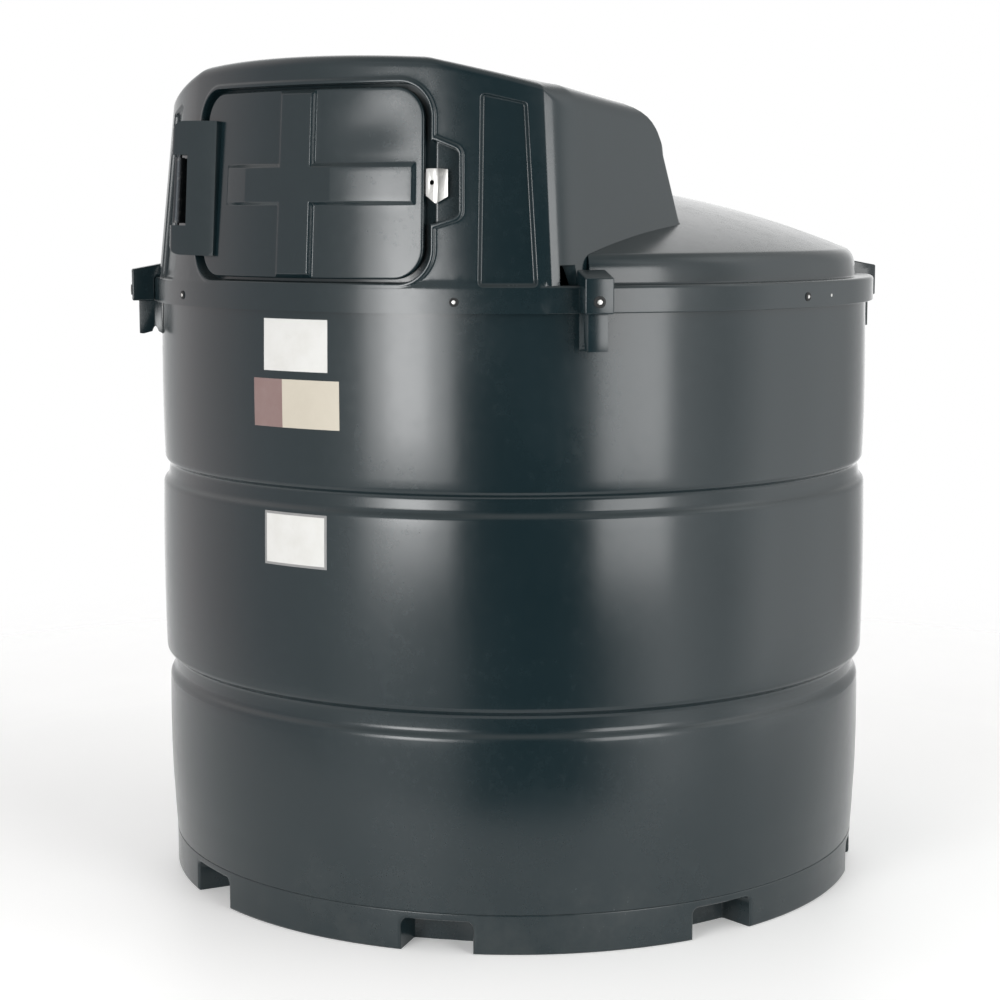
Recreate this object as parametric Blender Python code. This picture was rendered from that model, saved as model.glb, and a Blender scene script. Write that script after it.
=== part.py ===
"""Bunded vertical fuel tank with a dispensing cabinet on its front.

Three ribbed tiers of wall, a domed rear cover, a hood with one hinged door, four clamp lugs and a notched base
ring. Metres, +Z up, front (door) toward -Y."""
import math

import bmesh
import bpy
import numpy as np
from mathutils import Matrix, Vector

# Body
BODY_R = 0.925
MIDDLE_R = 0.930
LOWER_R = 0.922
BASE_R = 0.913
WALL = 0.010
GAP = 0.0003
BAND_DEPTH = 0.013
UPPER_BAND = (1.031, 1.089)
LOWER_BAND = (0.518, 0.584)
BASE_TOP = 0.096
WALL_TOP = 1.5397
BARREL = 0.003
WALL_STEPS = 10

# Base ring and its notches
RING_INNER_R = 0.790
NOTCHES = 8
NOTCH_ANGLE = 11.0
NOTCH_TOP = 0.078
NOTCH_DEPTH = 0.095
FLOOR_T = 0.012

# Rim and rear cover
RIM_R = 0.944
RIM_LOW = 1.496
RIM_HIGH = 1.553
LEDGE_TOP = 1.558
LEDGE_R = 0.939
COVER_R = 0.898
SKIRT_IN = 0.882
SEAT = 0.0005
JOINT_ANGLE = 45.0
DOME_APEX = 1.8056
DOME_CURVE = 0.23416
DOME_T = 0.009

# Hood: plan corners at its foot and at its top
FACE_R = 0.940
FACE_LEAN = 0.0737
CREASE = 39.3
HOOD_FOOT = 1.540
CREASE_TUCK = 0.030
CREASE_TURN = 0.025
FLARE_FOOT = (0.622, -0.665)
FLARE_TOP = (0.583, -0.640)
REAR_FOOT = (0.682, -0.213)
REAR_TOP = (0.594, -0.286)
REAR_CORNER = 0.026
CROWN_TOP = 2.075
SHOULDER_TOP = 2.066
CREASE_TOP = 2.014
FLARE_TOP_Z = 2.009
REAR_TOP_Z = 1.981
REAR_CROWN_TOP = 2.034
FRONT_ROUND = 0.028
SIDE_ROUND = 0.062
REAR_ROUND = 0.170
SKIN = 0.010
FRONT_SKIN = 0.035
HOOD_COLUMNS = 8
HOOD_ROWS = 4
SHELF_LOW = 1.5415
SHELF_T = 0.012

# Door opening on the hood's face: angles in degrees, heights in metres
OPEN_LEFT, OPEN_RIGHT = -20.7, 22.6
OPEN_LOW, OPEN_HIGH = 1.562, 2.009
OPEN_CORNER = 0.078
REBATE = 0.025
REBATE_LIP = 0.022
BEAD_W = 0.011
BEAD_OUT = 0.005

# Door
DOOR_LEFT, DOOR_RIGHT = -19.7, 21.5
DOOR_LOW, DOOR_HIGH = 1.571, 2.000
DOOR_CORNER = 0.072
DOOR_OUT = -0.005
DOOR_IN = -0.019
BAR_MARGIN = 0.003
BAR_CENTRE = 1.1
BAR_HALF = 3.25
CROSS_LOW, CROSS_HIGH = 1.737, 1.832
CROSS_ROOT = 0.004
CROSS_SLOPE = 0.009

# Level bar of the cross: angle, and how far its top stands from the face line there
LEVEL_BAR = [(-13.4, 0.0000), (-8.3, 0.0070), (-4.4, 0.0044), (-0.4, 0.0035), (3.5, 0.0044), (7.4, 0.0070),
             (13.9, 0.0030), (20.3, -0.0010)]

# Hinge
AXIS = (-0.3789, -0.8799)
KNUCKLE_R = 0.018
PIN_R = 0.005
HINGE_LOW, HINGE_HIGH = 1.620, 1.938
HINGE_SKEW = -2.0
HINGE_END = -15.3
HINGE_END_OUT = 0.0075
SEAT_LEFT, SEAT_RIGHT = -20.1, -8.0
SLOT_LOW, SLOT_HIGH = 1.690, 1.858
SLOT_REACH = 0.0245
LATCH_T = 0.003

# Recessed side panel beside the door
SIDE_PANEL = [(29.6, 1.556), (37.0, 1.556), (36.2, 1.963), (29.9, 1.985)]
SIDE_PANEL_DEPTH = 0.010
LATCH_POCKET = [(21.9, 1.690), (26.6, 1.713), (26.6, 1.858), (21.9, 1.888)]
LATCH_POCKET_DEPTH = 0.014

# Clamp lugs: a block over the rim and a leg with an arched foot below it
LUG_OUT_R = 1.001
LUG_W = 0.066
LUG_LOW = 1.497
LUG_FACE_TOP = 1.577
LUG_SLOPE = 0.20
LUG_BEVEL = 0.005
LUG_FRONT_R, LUG_REAR_R = 0.9130, COVER_R + 0.0012
LUG_POCKET_START = 40.4
LUG_POCKET_R = 0.905
LEG_W = 0.046
LEG_ROOT_W = 0.060
LEG_OUT_R = 0.984
LEG_LOW = 1.412
LEG_ARCH = 1.431

PLASTIC = (0.030, 0.042, 0.047, 1.0)
STEEL = (0.62, 0.62, 0.60, 1.0)


def clear_scene():
    for ob in list(bpy.data.objects):
        bpy.data.objects.remove(ob)
    for group in list(bpy.data.collections):
        bpy.data.collections.remove(group)


def collection(name):
    group = bpy.data.collections.new(name)
    bpy.context.scene.collection.children.link(group)
    return group


def material(name, colour, metal=0.0, rough=0.4):
    mat = bpy.data.materials.new(name)
    mat.use_nodes = True
    shader = mat.node_tree.nodes["Principled BSDF"]
    shader.inputs["Base Color"].default_value = colour
    shader.inputs["Metallic"].default_value = metal
    shader.inputs["Roughness"].default_value = rough
    return mat


def polar(radius, degrees):
    a = math.radians(degrees)
    return radius * math.sin(a), -radius * math.cos(a)


def mesh_object(name, verts, faces, group, mat=None):
    mesh = bpy.data.meshes.new(name)
    mesh.from_pydata([tuple(v) for v in verts], [], faces)
    bm = bmesh.new()
    bm.from_mesh(mesh)
    bmesh.ops.remove_doubles(bm, verts=bm.verts, dist=1e-7)
    bmesh.ops.recalc_face_normals(bm, faces=bm.faces)
    if bm.calc_volume(signed=True) < 0:
        bmesh.ops.reverse_faces(bm, faces=bm.faces)
    bm.to_mesh(mesh)
    bm.free()
    ob = bpy.data.objects.new(name, mesh)
    group.objects.link(ob)
    if mat:
        mesh.materials.append(mat)
    return ob


def loops(name, rings, group, mat=None, closed=False):
    """Joins rings of equal length side by side, capped at both ends unless the row closes on itself."""
    count = len(rings[0])
    verts = [v for ring in rings for v in ring]
    faces = []
    spans = len(rings) if closed else len(rings) - 1
    for i in range(spans):
        a = i * count
        b = ((i + 1) % len(rings)) * count
        for j in range(count):
            k = (j + 1) % count
            faces.append((a + j, a + k, b + k, b + j))
    if not closed:
        faces.append(tuple(range(count)))
        last = (len(rings) - 1) * count
        faces.append(tuple(range(last, last + count)))
    return mesh_object(name, verts, faces, group, mat)


def turned(name, profile, start, end, steps, group, mat=None):
    """Turns a closed (radius, height) profile about Z from one angle to another."""
    full = abs(end - start) >= 359.999
    count = steps if full else steps + 1
    rings = []
    for i in range(count):
        angle = start + (end - start) * i / steps
        rings.append([(*polar(r, angle), z) for r, z in profile])
    return loops(name, rings, group, mat, closed=full)


def box(name, low, high, group, mat=None):
    x0, y0, z0 = low
    x1, y1, z1 = high
    lower = [(x0, y0, z0), (x1, y0, z0), (x1, y1, z0), (x0, y1, z0)]
    upper = [(x, y, z1) for x, y, z in lower]
    return loops(name, [lower, upper], group, mat)


def rod(name, centre, radius, low, high, group, mat=None, steps=24):
    rings = []
    for z in (low, high):
        ring = []
        for i in range(steps):
            a = 2 * math.pi * i / steps
            ring.append((centre[0] + radius * math.cos(a), centre[1] + radius * math.sin(a), z))
        rings.append(ring)
    return loops(name, rings, group, mat)


def prism(name, outline, low, high, group, mat=None):
    return loops(name, [[(x, y, low) for x, y in outline], [(x, y, high) for x, y in outline]], group, mat)


def combine(ob, other, how, drop=True):
    mod = ob.modifiers.new(how.lower(), "BOOLEAN")
    mod.operation = how
    mod.solver = "EXACT"
    mod.object = other
    bpy.context.view_layer.update()
    graph = bpy.context.evaluated_depsgraph_get()
    made = bpy.data.meshes.new_from_object(ob.evaluated_get(graph), depsgraph=graph)
    ob.modifiers.clear()
    mats = list(ob.data.materials)
    old = ob.data
    ob.data = made
    bpy.data.meshes.remove(old)
    ob.data.materials.clear()
    for mat in mats:
        ob.data.materials.append(mat)
    for poly in ob.data.polygons:
        poly.material_index = 0
    bm = bmesh.new()
    bm.from_mesh(ob.data)
    bmesh.ops.remove_doubles(bm, verts=bm.verts, dist=2e-6)
    bmesh.ops.dissolve_degenerate(bm, edges=bm.edges, dist=2e-6)
    bm.to_mesh(ob.data)
    bm.free()
    if drop:
        bpy.data.objects.remove(other)


def face_radius(z):
    return FACE_R - FACE_LEAN * (z - HOOD_FOOT)


def face_line(angle):
    """Foot and top of the hood's face at one angle from its middle."""
    x0, y0 = polar(FACE_R, angle)
    far = min(1.0, abs(angle) / 23.0)
    beyond = max(0.0, (abs(angle) - 23.0) / (CREASE - 23.0))
    crown = SHOULDER_TOP + (CROWN_TOP - SHOULDER_TOP) * (1 - far ** 2)
    top_z = crown + (CREASE_TOP - SHOULDER_TOP) * beyond
    turn = angle * (1 - CREASE_TURN * (angle / CREASE) ** 2)
    x1, y1 = polar(face_radius(top_z) - CREASE_TUCK * min(beyond, 1.0) ** 2, turn)
    return (x0, y0, HOOD_FOOT), (x1, y1, top_z)


def on_face(angle, z, out):
    foot, top = face_line(angle)
    t = (z - HOOD_FOOT) / (top[2] - HOOD_FOOT)
    x = foot[0] + (top[0] - foot[0]) * t
    y = foot[1] + (top[1] - foot[1]) * t
    reach = math.hypot(x, y)
    return x * (reach + out) / reach, y * (reach + out) / reach, z


def split_long(points, most_angle=4.0):
    """Adds points along the long sides of an outline, so that a piece laid on the curved face follows it."""
    out = []
    for i, (a, z) in enumerate(points):
        b, w = points[(i + 1) % len(points)]
        parts = max(1, math.ceil(abs(b - a) / most_angle))
        for k in range(parts):
            out.append((a + (b - a) * k / parts, z + (w - z) * k / parts))
    return out


def face_slab(name, columns, inner, outer, group, mat=None):
    """A slab on the hood's face from (angle, low, high) columns; inner and outer are offsets from the face."""
    rings = []
    for angle, low, high in columns:
        rings.append([on_face(angle, low, inner), on_face(angle, low, outer),
                      on_face(angle, high, outer), on_face(angle, high, inner)])
    return loops(name, rings, group, mat)


def rounded_columns(left, right, low, high, radius, most=3.2, steps=5):
    """The (angle, low, high) columns of a rounded rectangle on the face."""
    mid = face_radius((low + high) / 2)
    turn = math.degrees(radius / mid)
    angles = []
    for i in range(steps + 1):
        t = math.pi / 2 * i / steps
        angles.append((left + turn * (1 - math.cos(t)), radius * (1 - math.sin(t))))
    inner_left, inner_right = left + turn, right - turn
    parts = max(1, math.ceil((inner_right - inner_left) / most))
    for k in range(1, parts):
        angles.append((inner_left + (inner_right - inner_left) * k / parts, 0.0))
    for i in range(steps, -1, -1):
        t = math.pi / 2 * i / steps
        angles.append((right - turn * (1 - math.cos(t)), radius * (1 - math.sin(t))))
    return [(a, low + cut, high - cut) for a, cut in angles]


def outline_slab(name, outline, inner, outer, group, mat=None):
    """A slab on the face from any outline of (angle, height) points."""
    points = split_long(outline)
    rings = [[on_face(a, z, out) for a, z in points] for out in (inner, outer)]
    return loops(name, rings, group, mat)


def lerp(a, b, t):
    return tuple(p + (q - p) * t for p, q in zip(a, b))


def hood_sides(columns, rows):
    """The hood's plan edge as four sides of (foot, top) points: front, right, rear, left."""
    front = [face_line(CREASE * j / columns) for j in range(-columns, columns + 1)]
    crease_foot, crease_top = front[-1]
    flare = ((*FLARE_FOOT, HOOD_FOOT), (*FLARE_TOP, FLARE_TOP_Z))
    rear = ((*REAR_FOOT, HOOD_FOOT), (*REAR_TOP, REAR_TOP_Z))
    bow = 0.008
    middle = [lerp(crease_foot, flare[0], 0.5), lerp(crease_top, flare[1], 0.5)]
    right = [tuple((x + bow, y - bow / 2, z) for x, y, z in middle), flare]
    last = 1 - REAR_CORNER / (REAR_FOOT[1] - FLARE_FOOT[1])
    for i in range(1, rows):
        share = last * i / (rows - 1)
        right.append((lerp(flare[0], rear[0], share), lerp(flare[1], rear[1], share)))
    back = []
    for j in range(columns, -columns - 1, -1):
        share = j / columns
        x0, x1 = REAR_FOOT[0] - REAR_CORNER * 0.3, REAR_TOP[0] - REAR_CORNER * 0.3
        y_in = REAR_CORNER * 0.3 if abs(j) == columns else 0.0
        crown = REAR_TOP_Z + (REAR_CROWN_TOP - REAR_TOP_Z) * (1 - abs(share) ** 2)
        back.append(((x0 * share, REAR_FOOT[1] - y_in, HOOD_FOOT), (x1 * share, REAR_TOP[1] - y_in, crown)))
    left = [((-f[0], f[1], f[2]), (-t[0], t[1], t[2])) for f, t in reversed(right)]
    return front, right, back, left


def inner_edge(low, columns, side_count):
    """Plan points where the rounding of the hood's top edge ends and the roof starts."""
    cols = 2 * columns + 1
    crease, flare, rear = cols - 1, cols + 1, cols + side_count
    inner = np.zeros((len(low), 2))
    inner[crease] = low[crease, :2] - np.array(polar(FRONT_ROUND, CREASE)) - (SIDE_ROUND * 0.7, 0.0)
    inner[flare] = low[flare, :2] + (-SIDE_ROUND, 0.008)
    inner[rear] = low[rear, :2] + (-SIDE_ROUND * 1.35, -REAR_ROUND)
    inner[crease + 1] = (inner[crease] + inner[flare]) / 2
    length = np.linalg.norm(low[rear, :2] - low[flare, :2])
    for i in range(flare + 1, rear):
        share = np.linalg.norm(low[i, :2] - low[flare, :2]) / length
        inner[i] = inner[flare] + (inner[rear] - inner[flare]) * share
    end_angle = math.degrees(math.atan2(inner[crease][0], -inner[crease][1]))
    short = np.linalg.norm(low[crease, :2]) - FRONT_ROUND - np.linalg.norm(inner[crease])
    for j in range(columns):
        share = j / columns
        reach = np.linalg.norm(low[columns + j, :2]) - FRONT_ROUND - short * share ** 6
        inner[columns + j] = polar(reach, end_angle * share)
        inner[rear + columns - j] = (inner[rear][0] * share, inner[rear][1])
    for j in range(1, columns + 1):
        inner[columns - j] = inner[columns + j] * (-1, 1)
        inner[rear + columns + j] = inner[rear + columns - j] * (-1, 1)
    for i in range(side_count):
        inner[len(low) - 1 - i] = inner[cols + i] * (-1, 1)
    return inner


def hood_body(name, group, mat=None, grow=0.0, front_grow=0.0, drop=0.0, roof=0.0):
    """The hood's outer form, or the same grown or shrunk by an offset. drop lengthens it at the foot."""
    columns = HOOD_COLUMNS
    front, right, back, left = hood_sides(columns, HOOD_ROWS)
    edge = front + right + back + left
    n = len(edge)
    foot = np.array([p[0] for p in edge])
    top = np.array([p[1] for p in edge])
    is_front = np.array([i < len(front) for i in range(n)])

    def move(points):
        """Grows the edge outward: the sides and rear by grow, the front arc by front_grow."""
        ahead = np.roll(points, -1, axis=0)[:, :2] - points[:, :2]
        behind = points[:, :2] - np.roll(points, 1, axis=0)[:, :2]
        ahead /= np.linalg.norm(ahead, axis=1)[:, None]
        behind /= np.linalg.norm(behind, axis=1)[:, None]
        both = np.stack([ahead[:, 1] + behind[:, 1], -ahead[:, 0] - behind[:, 0]], axis=1)
        both /= (both * np.stack([ahead[:, 1], -ahead[:, 0]], axis=1)).sum(axis=1)[:, None]
        moved = points.copy()
        moved[:, :2] += both * grow
        radius = np.linalg.norm(points[:, :2], axis=1)[:, None]
        arc = points[:, :2] * (radius + front_grow) / radius
        moved[is_front, :2] = arc[is_front]
        for i, sign in ((0, -1), (len(front) - 1, 1)):
            moved[i, :2] = points[i, :2] + np.array(polar(front_grow, sign * CREASE)) + (sign * grow * 0.7, 0.0)
        return moved

    slope = (top - foot) / (top[:, 2] - foot[:, 2])[:, None]
    rear = len(front) + len(right)
    round_r = np.where(is_front, FRONT_ROUND, SIDE_ROUND)
    round_r[rear:rear + len(back)] = REAR_ROUND
    for end, near in ((rear, rear - 1), (rear + len(back) - 1, rear + len(back))):
        round_r[end] = SIDE_ROUND + (REAR_ROUND - SIDE_ROUND) * 0.8
        round_r[near] = SIDE_ROUND + (REAR_ROUND - SIDE_ROUND) * 0.5
    rings = []
    if drop:
        rings.append(move(foot - slope * drop))
    for share in (0.0, 0.33, 0.66):
        height = (top[:, 2] - foot[:, 2] - round_r) * share
        rings.append(move(foot + slope * height[:, None]))
    low = top - slope * round_r[:, None]
    grown = move(low)
    inset = inner_edge(low, columns, len(right)) - low[:, :2]
    steps = 4
    for k in range(steps + 1):
        t = math.pi / 2 * k / steps
        ring = grown.copy()
        ring[:, :2] += inset * (1 - math.cos(t))
        ring[:, 2] = low[:, 2] + round_r * math.sin(t) + roof
        rings.append(ring)
    last = rings[-1]
    cols = 2 * columns + 1
    rows_n = len(right) + 2
    front_row = last[:cols]
    right_col = [last[cols - 1]] + [last[cols + i] for i in range(len(right))]
    back_start = cols + len(right)
    back_row = last[back_start:back_start + cols][::-1]
    right_col.append(back_row[-1])
    left_start = back_start + cols
    left_col = [last[0]] + [last[left_start + i] for i in range(len(left))][::-1] + [back_row[0]]
    grid = np.zeros((rows_n, cols, 3))
    for i in range(rows_n):
        v = i / (rows_n - 1)
        for j in range(cols):
            u = j / (cols - 1)
            along = front_row[j] * (1 - v) + back_row[j] * v
            across = left_col[i] * (1 - u) + right_col[i] * u
            corner = (front_row[0] * (1 - u) * (1 - v) + front_row[-1] * u * (1 - v)
                      + back_row[0] * (1 - u) * v + back_row[-1] * u * v)
            grid[i, j] = along + across - corner
    verts = [tuple(v) for ring in rings for v in ring]
    faces = []
    for k in range(len(rings) - 1):
        for i in range(n):
            j = (i + 1) % n
            faces.append((k * n + i, k * n + j, (k + 1) * n + j))
            faces.append((k * n + i, (k + 1) * n + j, (k + 1) * n + i))
    faces.append(tuple(range(n)))
    start = len(verts)
    verts += [tuple(v) for row in grid for v in row]
    for i in range(rows_n - 1):
        for j in range(cols - 1):
            a = start + i * cols + j
            faces.append((a, a + 1, a + cols + 1, a + cols))
    ob = mesh_object(name, verts, faces, group, mat)
    bm = bmesh.new()
    bm.from_mesh(ob.data)
    bmesh.ops.remove_doubles(bm, verts=bm.verts, dist=1e-6)
    bmesh.ops.triangulate(bm, faces=bm.faces)
    bmesh.ops.recalc_face_normals(bm, faces=bm.faces)
    bm.to_mesh(ob.data)
    bm.free()
    return ob


def tier_profile(low, high, r_low, r_high, parts=3):
    """The slightly barrelled outer line of one tier of the wall."""
    out = []
    for i in range(parts + 1):
        t = i / parts
        bulge = BARREL * (1 - (2 * t - 1) ** 2)
        out.append((r_low + (r_high - r_low) * t + bulge, low + (high - low) * t))
    return out


def wall_profile():
    edge = 0.012
    outer = []
    outer += [(BASE_R, BASE_TOP + GAP)]
    outer += tier_profile(0.20, LOWER_BAND[0], LOWER_R - 0.002, LOWER_R)
    outer += [(LOWER_R - BAND_DEPTH, LOWER_BAND[0] + edge), (LOWER_R - BAND_DEPTH, LOWER_BAND[1] - edge)]
    outer += tier_profile(LOWER_BAND[1], UPPER_BAND[0], MIDDLE_R, MIDDLE_R)
    outer += [(MIDDLE_R - BAND_DEPTH, UPPER_BAND[0] + edge), (BODY_R - BAND_DEPTH, UPPER_BAND[1] - edge)]
    outer += tier_profile(UPPER_BAND[1], 1.470, BODY_R, BODY_R)
    outer += [(BODY_R, WALL_TOP)]
    inner_r = BASE_R - 0.022
    inner = [(BODY_R - WALL, WALL_TOP), (BODY_R - WALL, UPPER_BAND[1] + 0.02), (inner_r, UPPER_BAND[1] - 0.006),
             (inner_r, BASE_TOP + GAP)]
    return outer + inner


def walls(group, mat):
    names = ["front", "front_right", "right", "rear_right", "rear", "rear_left", "left", "front_left"]
    half_gap = math.degrees(GAP / 2 / BODY_R) + 0.0005
    for i, name in enumerate(names):
        start = -22.5 + 45 * i + half_gap
        end = 22.5 + 45 * i - half_gap
        turned("bund_wall_" + name, wall_profile(), start, end, WALL_STEPS, group, mat)


def base(group, cutters, mat):
    disc = [(RING_INNER_R - GAP, 0.0), (RING_INNER_R - GAP, FLOOR_T)]
    rings = [[(*polar(r, 360 * i / 72), z) for i in range(72)] for r, z in disc]
    loops("bund_floor", rings, group, mat)
    profile = [(RING_INNER_R, 0.0), (BASE_R - 0.004, 0.0), (BASE_R, 0.006), (BASE_R, BASE_TOP)]
    profile.append((RING_INNER_R, BASE_TOP))
    ring = turned("base_ring", profile, 0, 360, 72, group, mat)
    for i in range(NOTCHES):
        middle = 22.5 + 360 * i / NOTCHES
        half = NOTCH_ANGLE / 2
        cut = [(BASE_R - NOTCH_DEPTH, -0.01), (BASE_R + 0.02, -0.01), (BASE_R + 0.02, NOTCH_TOP),
               (BASE_R - NOTCH_DEPTH, NOTCH_TOP - 0.012)]
        cutter = turned("notch_cutter", cut, middle - half, middle + half, 3, cutters)
        combine(ring, cutter, "DIFFERENCE")


def dome_z(r):
    return DOME_APEX - DOME_CURVE * r * r


def rear_cover(group, cutters, mat):
    outer = [(RIM_R, RIM_LOW), (RIM_R, RIM_HIGH), (LEDGE_R, LEDGE_TOP), (COVER_R, LEDGE_TOP),
             (COVER_R - 0.003, 1.590), (COVER_R - 0.007, 1.606), (COVER_R - 0.014, 1.618)]
    for r in (0.874, 0.84, 0.77, 0.68, 0.56, 0.42, 0.28, 0.14):
        outer.append((r, dome_z(r)))
    inner = [(r, dome_z(r) - DOME_T) for r in (0.14, 0.42, 0.68, 0.85)]
    inner += [(SKIRT_IN, 1.592), (SKIRT_IN, WALL_TOP + GAP), (BODY_R + SEAT, WALL_TOP + GAP)]
    inner.append((BODY_R + SEAT, RIM_LOW))
    steps = 80
    count = len(outer) + len(inner)
    profile = outer + inner
    verts = []
    for i in range(steps):
        a = 360 * i / steps
        verts += [(*polar(r, a), z) for r, z in profile]
    top = len(verts)
    verts.append((0, 0, dome_z(0)))
    verts.append((0, 0, dome_z(0) - DOME_T))
    faces = []
    last_outer = len(outer) - 1
    for i in range(steps):
        a = i * count
        b = ((i + 1) % steps) * count
        for j in range(count):
            k = (j + 1) % count
            if j == last_outer:
                faces.append((a + j, top, b + j))
                faces.append((a + k, b + k, top + 1))
            else:
                faces.append((a + j, a + k, b + k, b + j))
    cover = mesh_object("rear_cover", verts, faces, group, mat)
    rim_cut = [(0.87, 1.45), (1.0, 1.45), (1.0, 1.70), (0.87, 1.70)]
    angle = JOINT_ANGLE + math.degrees(0.0008 / RIM_R)
    combine(cover, turned("rim_cutter", rim_cut, -angle, angle, 20, cutters), "DIFFERENCE")
    combine(cover, hood_body("hood_cutter", cutters, grow=0.0012, front_grow=0.0012, drop=0.10), "DIFFERENCE")
    return cover


def hood(group, cutters, mat):
    body = hood_body("hood_cover", group, mat)
    skirt = [(BODY_R + SEAT, RIM_LOW), (RIM_R, RIM_LOW), (RIM_R, RIM_HIGH), (LEDGE_R, LEDGE_TOP),
             (SKIRT_IN, LEDGE_TOP), (SKIRT_IN, WALL_TOP + GAP), (BODY_R + SEAT, WALL_TOP + GAP)]
    combine(body, turned("skirt", skirt, -JOINT_ANGLE, JOINT_ANGLE, 20, cutters), "UNION")
    cavity = hood_body("cavity", cutters, grow=-SKIN, front_grow=-FRONT_SKIN, drop=0.05, roof=-SKIN)
    combine(body, cavity, "DIFFERENCE")
    outer_edge = rounded_columns(OPEN_LEFT - 0.7, OPEN_RIGHT + 0.7, OPEN_LOW - BEAD_W, OPEN_HIGH + BEAD_W,
                                 OPEN_CORNER + BEAD_W)
    combine(body, face_slab("bead", outer_edge, -0.006, BEAD_OUT, cutters), "UNION")
    opening = rounded_columns(OPEN_LEFT, OPEN_RIGHT, OPEN_LOW, OPEN_HIGH, OPEN_CORNER)
    combine(body, face_slab("door_recess", opening, -REBATE, 0.05, cutters), "DIFFERENCE")
    lip = math.degrees(REBATE_LIP / FACE_R)
    way = rounded_columns(OPEN_LEFT + lip, OPEN_RIGHT - lip, OPEN_LOW + REBATE_LIP, OPEN_HIGH - REBATE_LIP,
                          OPEN_CORNER - REBATE_LIP)
    combine(body, face_slab("doorway", way, -0.08, 0.02, cutters), "DIFFERENCE")
    combine(body, outline_slab("side_panel", SIDE_PANEL, -SIDE_PANEL_DEPTH, 0.05, cutters), "DIFFERENCE")
    mirrored = [(-a, z) for a, z in reversed(SIDE_PANEL)]
    combine(body, outline_slab("side_panel", mirrored, -SIDE_PANEL_DEPTH, 0.05, cutters), "DIFFERENCE")
    for start, end in ((LUG_POCKET_START, JOINT_ANGLE + 0.2), (-JOINT_ANGLE - 0.2, -LUG_POCKET_START)):
        pocket = [(LUG_POCKET_R, LEDGE_TOP), (1.0, LEDGE_TOP), (1.0, 1.601), (LUG_POCKET_R, 1.604)]
        combine(body, turned("lug_pocket", pocket, start, end, 3, cutters), "DIFFERENCE")
    combine(body, outline_slab("latch_pocket", LATCH_POCKET, -LATCH_POCKET_DEPTH, 0.05, cutters), "DIFFERENCE")
    return body


def cabinet_floor(group, cutters, mat):
    shelf = box("cabinet_floor", (-0.8, -1.0, SHELF_LOW), (0.8, 0.0, SHELF_LOW + SHELF_T), group, mat)
    inside = hood_body("inside", cutters, grow=-SKIN - GAP, front_grow=-FRONT_SKIN - GAP, drop=0.05, roof=-SKIN)
    combine(shelf, inside, "INTERSECT")
    return shelf


def raised_bar(name, columns, low, high, group):
    """A bar with sloping sides on the door, from (angle, top) columns."""
    slope = math.degrees(CROSS_SLOPE / FACE_R)
    last = len(columns) - 1
    rings = []
    for k, (angle, top) in enumerate(columns):
        slide = 0.0
        if k == 0:
            slide = slope
        if k == last:
            slide = -slope
        root = DOOR_OUT - CROSS_ROOT
        rings.append([on_face(angle, low, root), on_face(angle + slide, low + CROSS_SLOPE, top),
                      on_face(angle + slide, high - CROSS_SLOPE, top), on_face(angle, high, root)])
    return loops(name, rings, group)


def leaf_columns():
    return rounded_columns(DOOR_LEFT, DOOR_RIGHT, DOOR_LOW, DOOR_HIGH, DOOR_CORNER)


def door(group, cutters, mat):
    leaf = face_slab("door", leaf_columns(), DOOR_IN, DOOR_OUT, group, mat)
    middle = min(top for angle, top in LEVEL_BAR[1:-1])
    upright = [(BAR_CENTRE + BAR_HALF * k, middle + 0.0001) for k in (-1, 0, 1)]
    combine(leaf, raised_bar("upright", upright, DOOR_LOW + BAR_MARGIN, DOOR_HIGH - BAR_MARGIN, cutters), "UNION")
    combine(leaf, raised_bar("level_bar", LEVEL_BAR, CROSS_LOW, CROSS_HIGH, cutters), "UNION")
    return leaf


def hinge_outline(steps=12):
    """Plan outline of the hinge moulding: a half-round nose about the pin, running on over the door's edge."""
    angle = math.radians(HINGE_SKEW)
    along = Vector((math.cos(angle), math.sin(angle)))
    across = Vector((along[1], -along[0]))
    centre = Vector(AXIS)
    points = []
    for i in range(steps + 1):
        t = math.radians(-90 + 180 * i / steps)
        points.append(centre - along * (KNUCKLE_R * math.cos(t)) - across * (KNUCKLE_R * math.sin(t)))
    mid_z = (HINGE_LOW + HINGE_HIGH) / 2
    out_r = face_radius(mid_z) + HINGE_END_OUT
    in_r = face_radius(mid_z) - 0.03
    beyond = [(in_r, -20.0), (in_r, HINGE_END), (out_r, HINGE_END), (out_r + HINGE_END_OUT, HINGE_END - 0.6)]
    points += [Vector(polar(r, angle)) for r, angle in beyond]
    return [tuple(p) for p in points]


def lean(ob):
    """Tips a piece of the hinge back with the hood's face, about the middle of the pin."""
    middle = Vector((AXIS[0], AXIS[1], (HINGE_LOW + HINGE_HIGH) / 2))
    inward = Vector((-AXIS[0], -AXIS[1], 0.0)).normalized() * FACE_LEAN
    turn = Vector((0, 0, 1)).rotation_difference(inward + Vector((0, 0, 1))).to_matrix().to_4x4()
    ob.data.transform(Matrix.Translation(middle) @ turn @ Matrix.Translation(-middle))
    return ob


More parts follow.
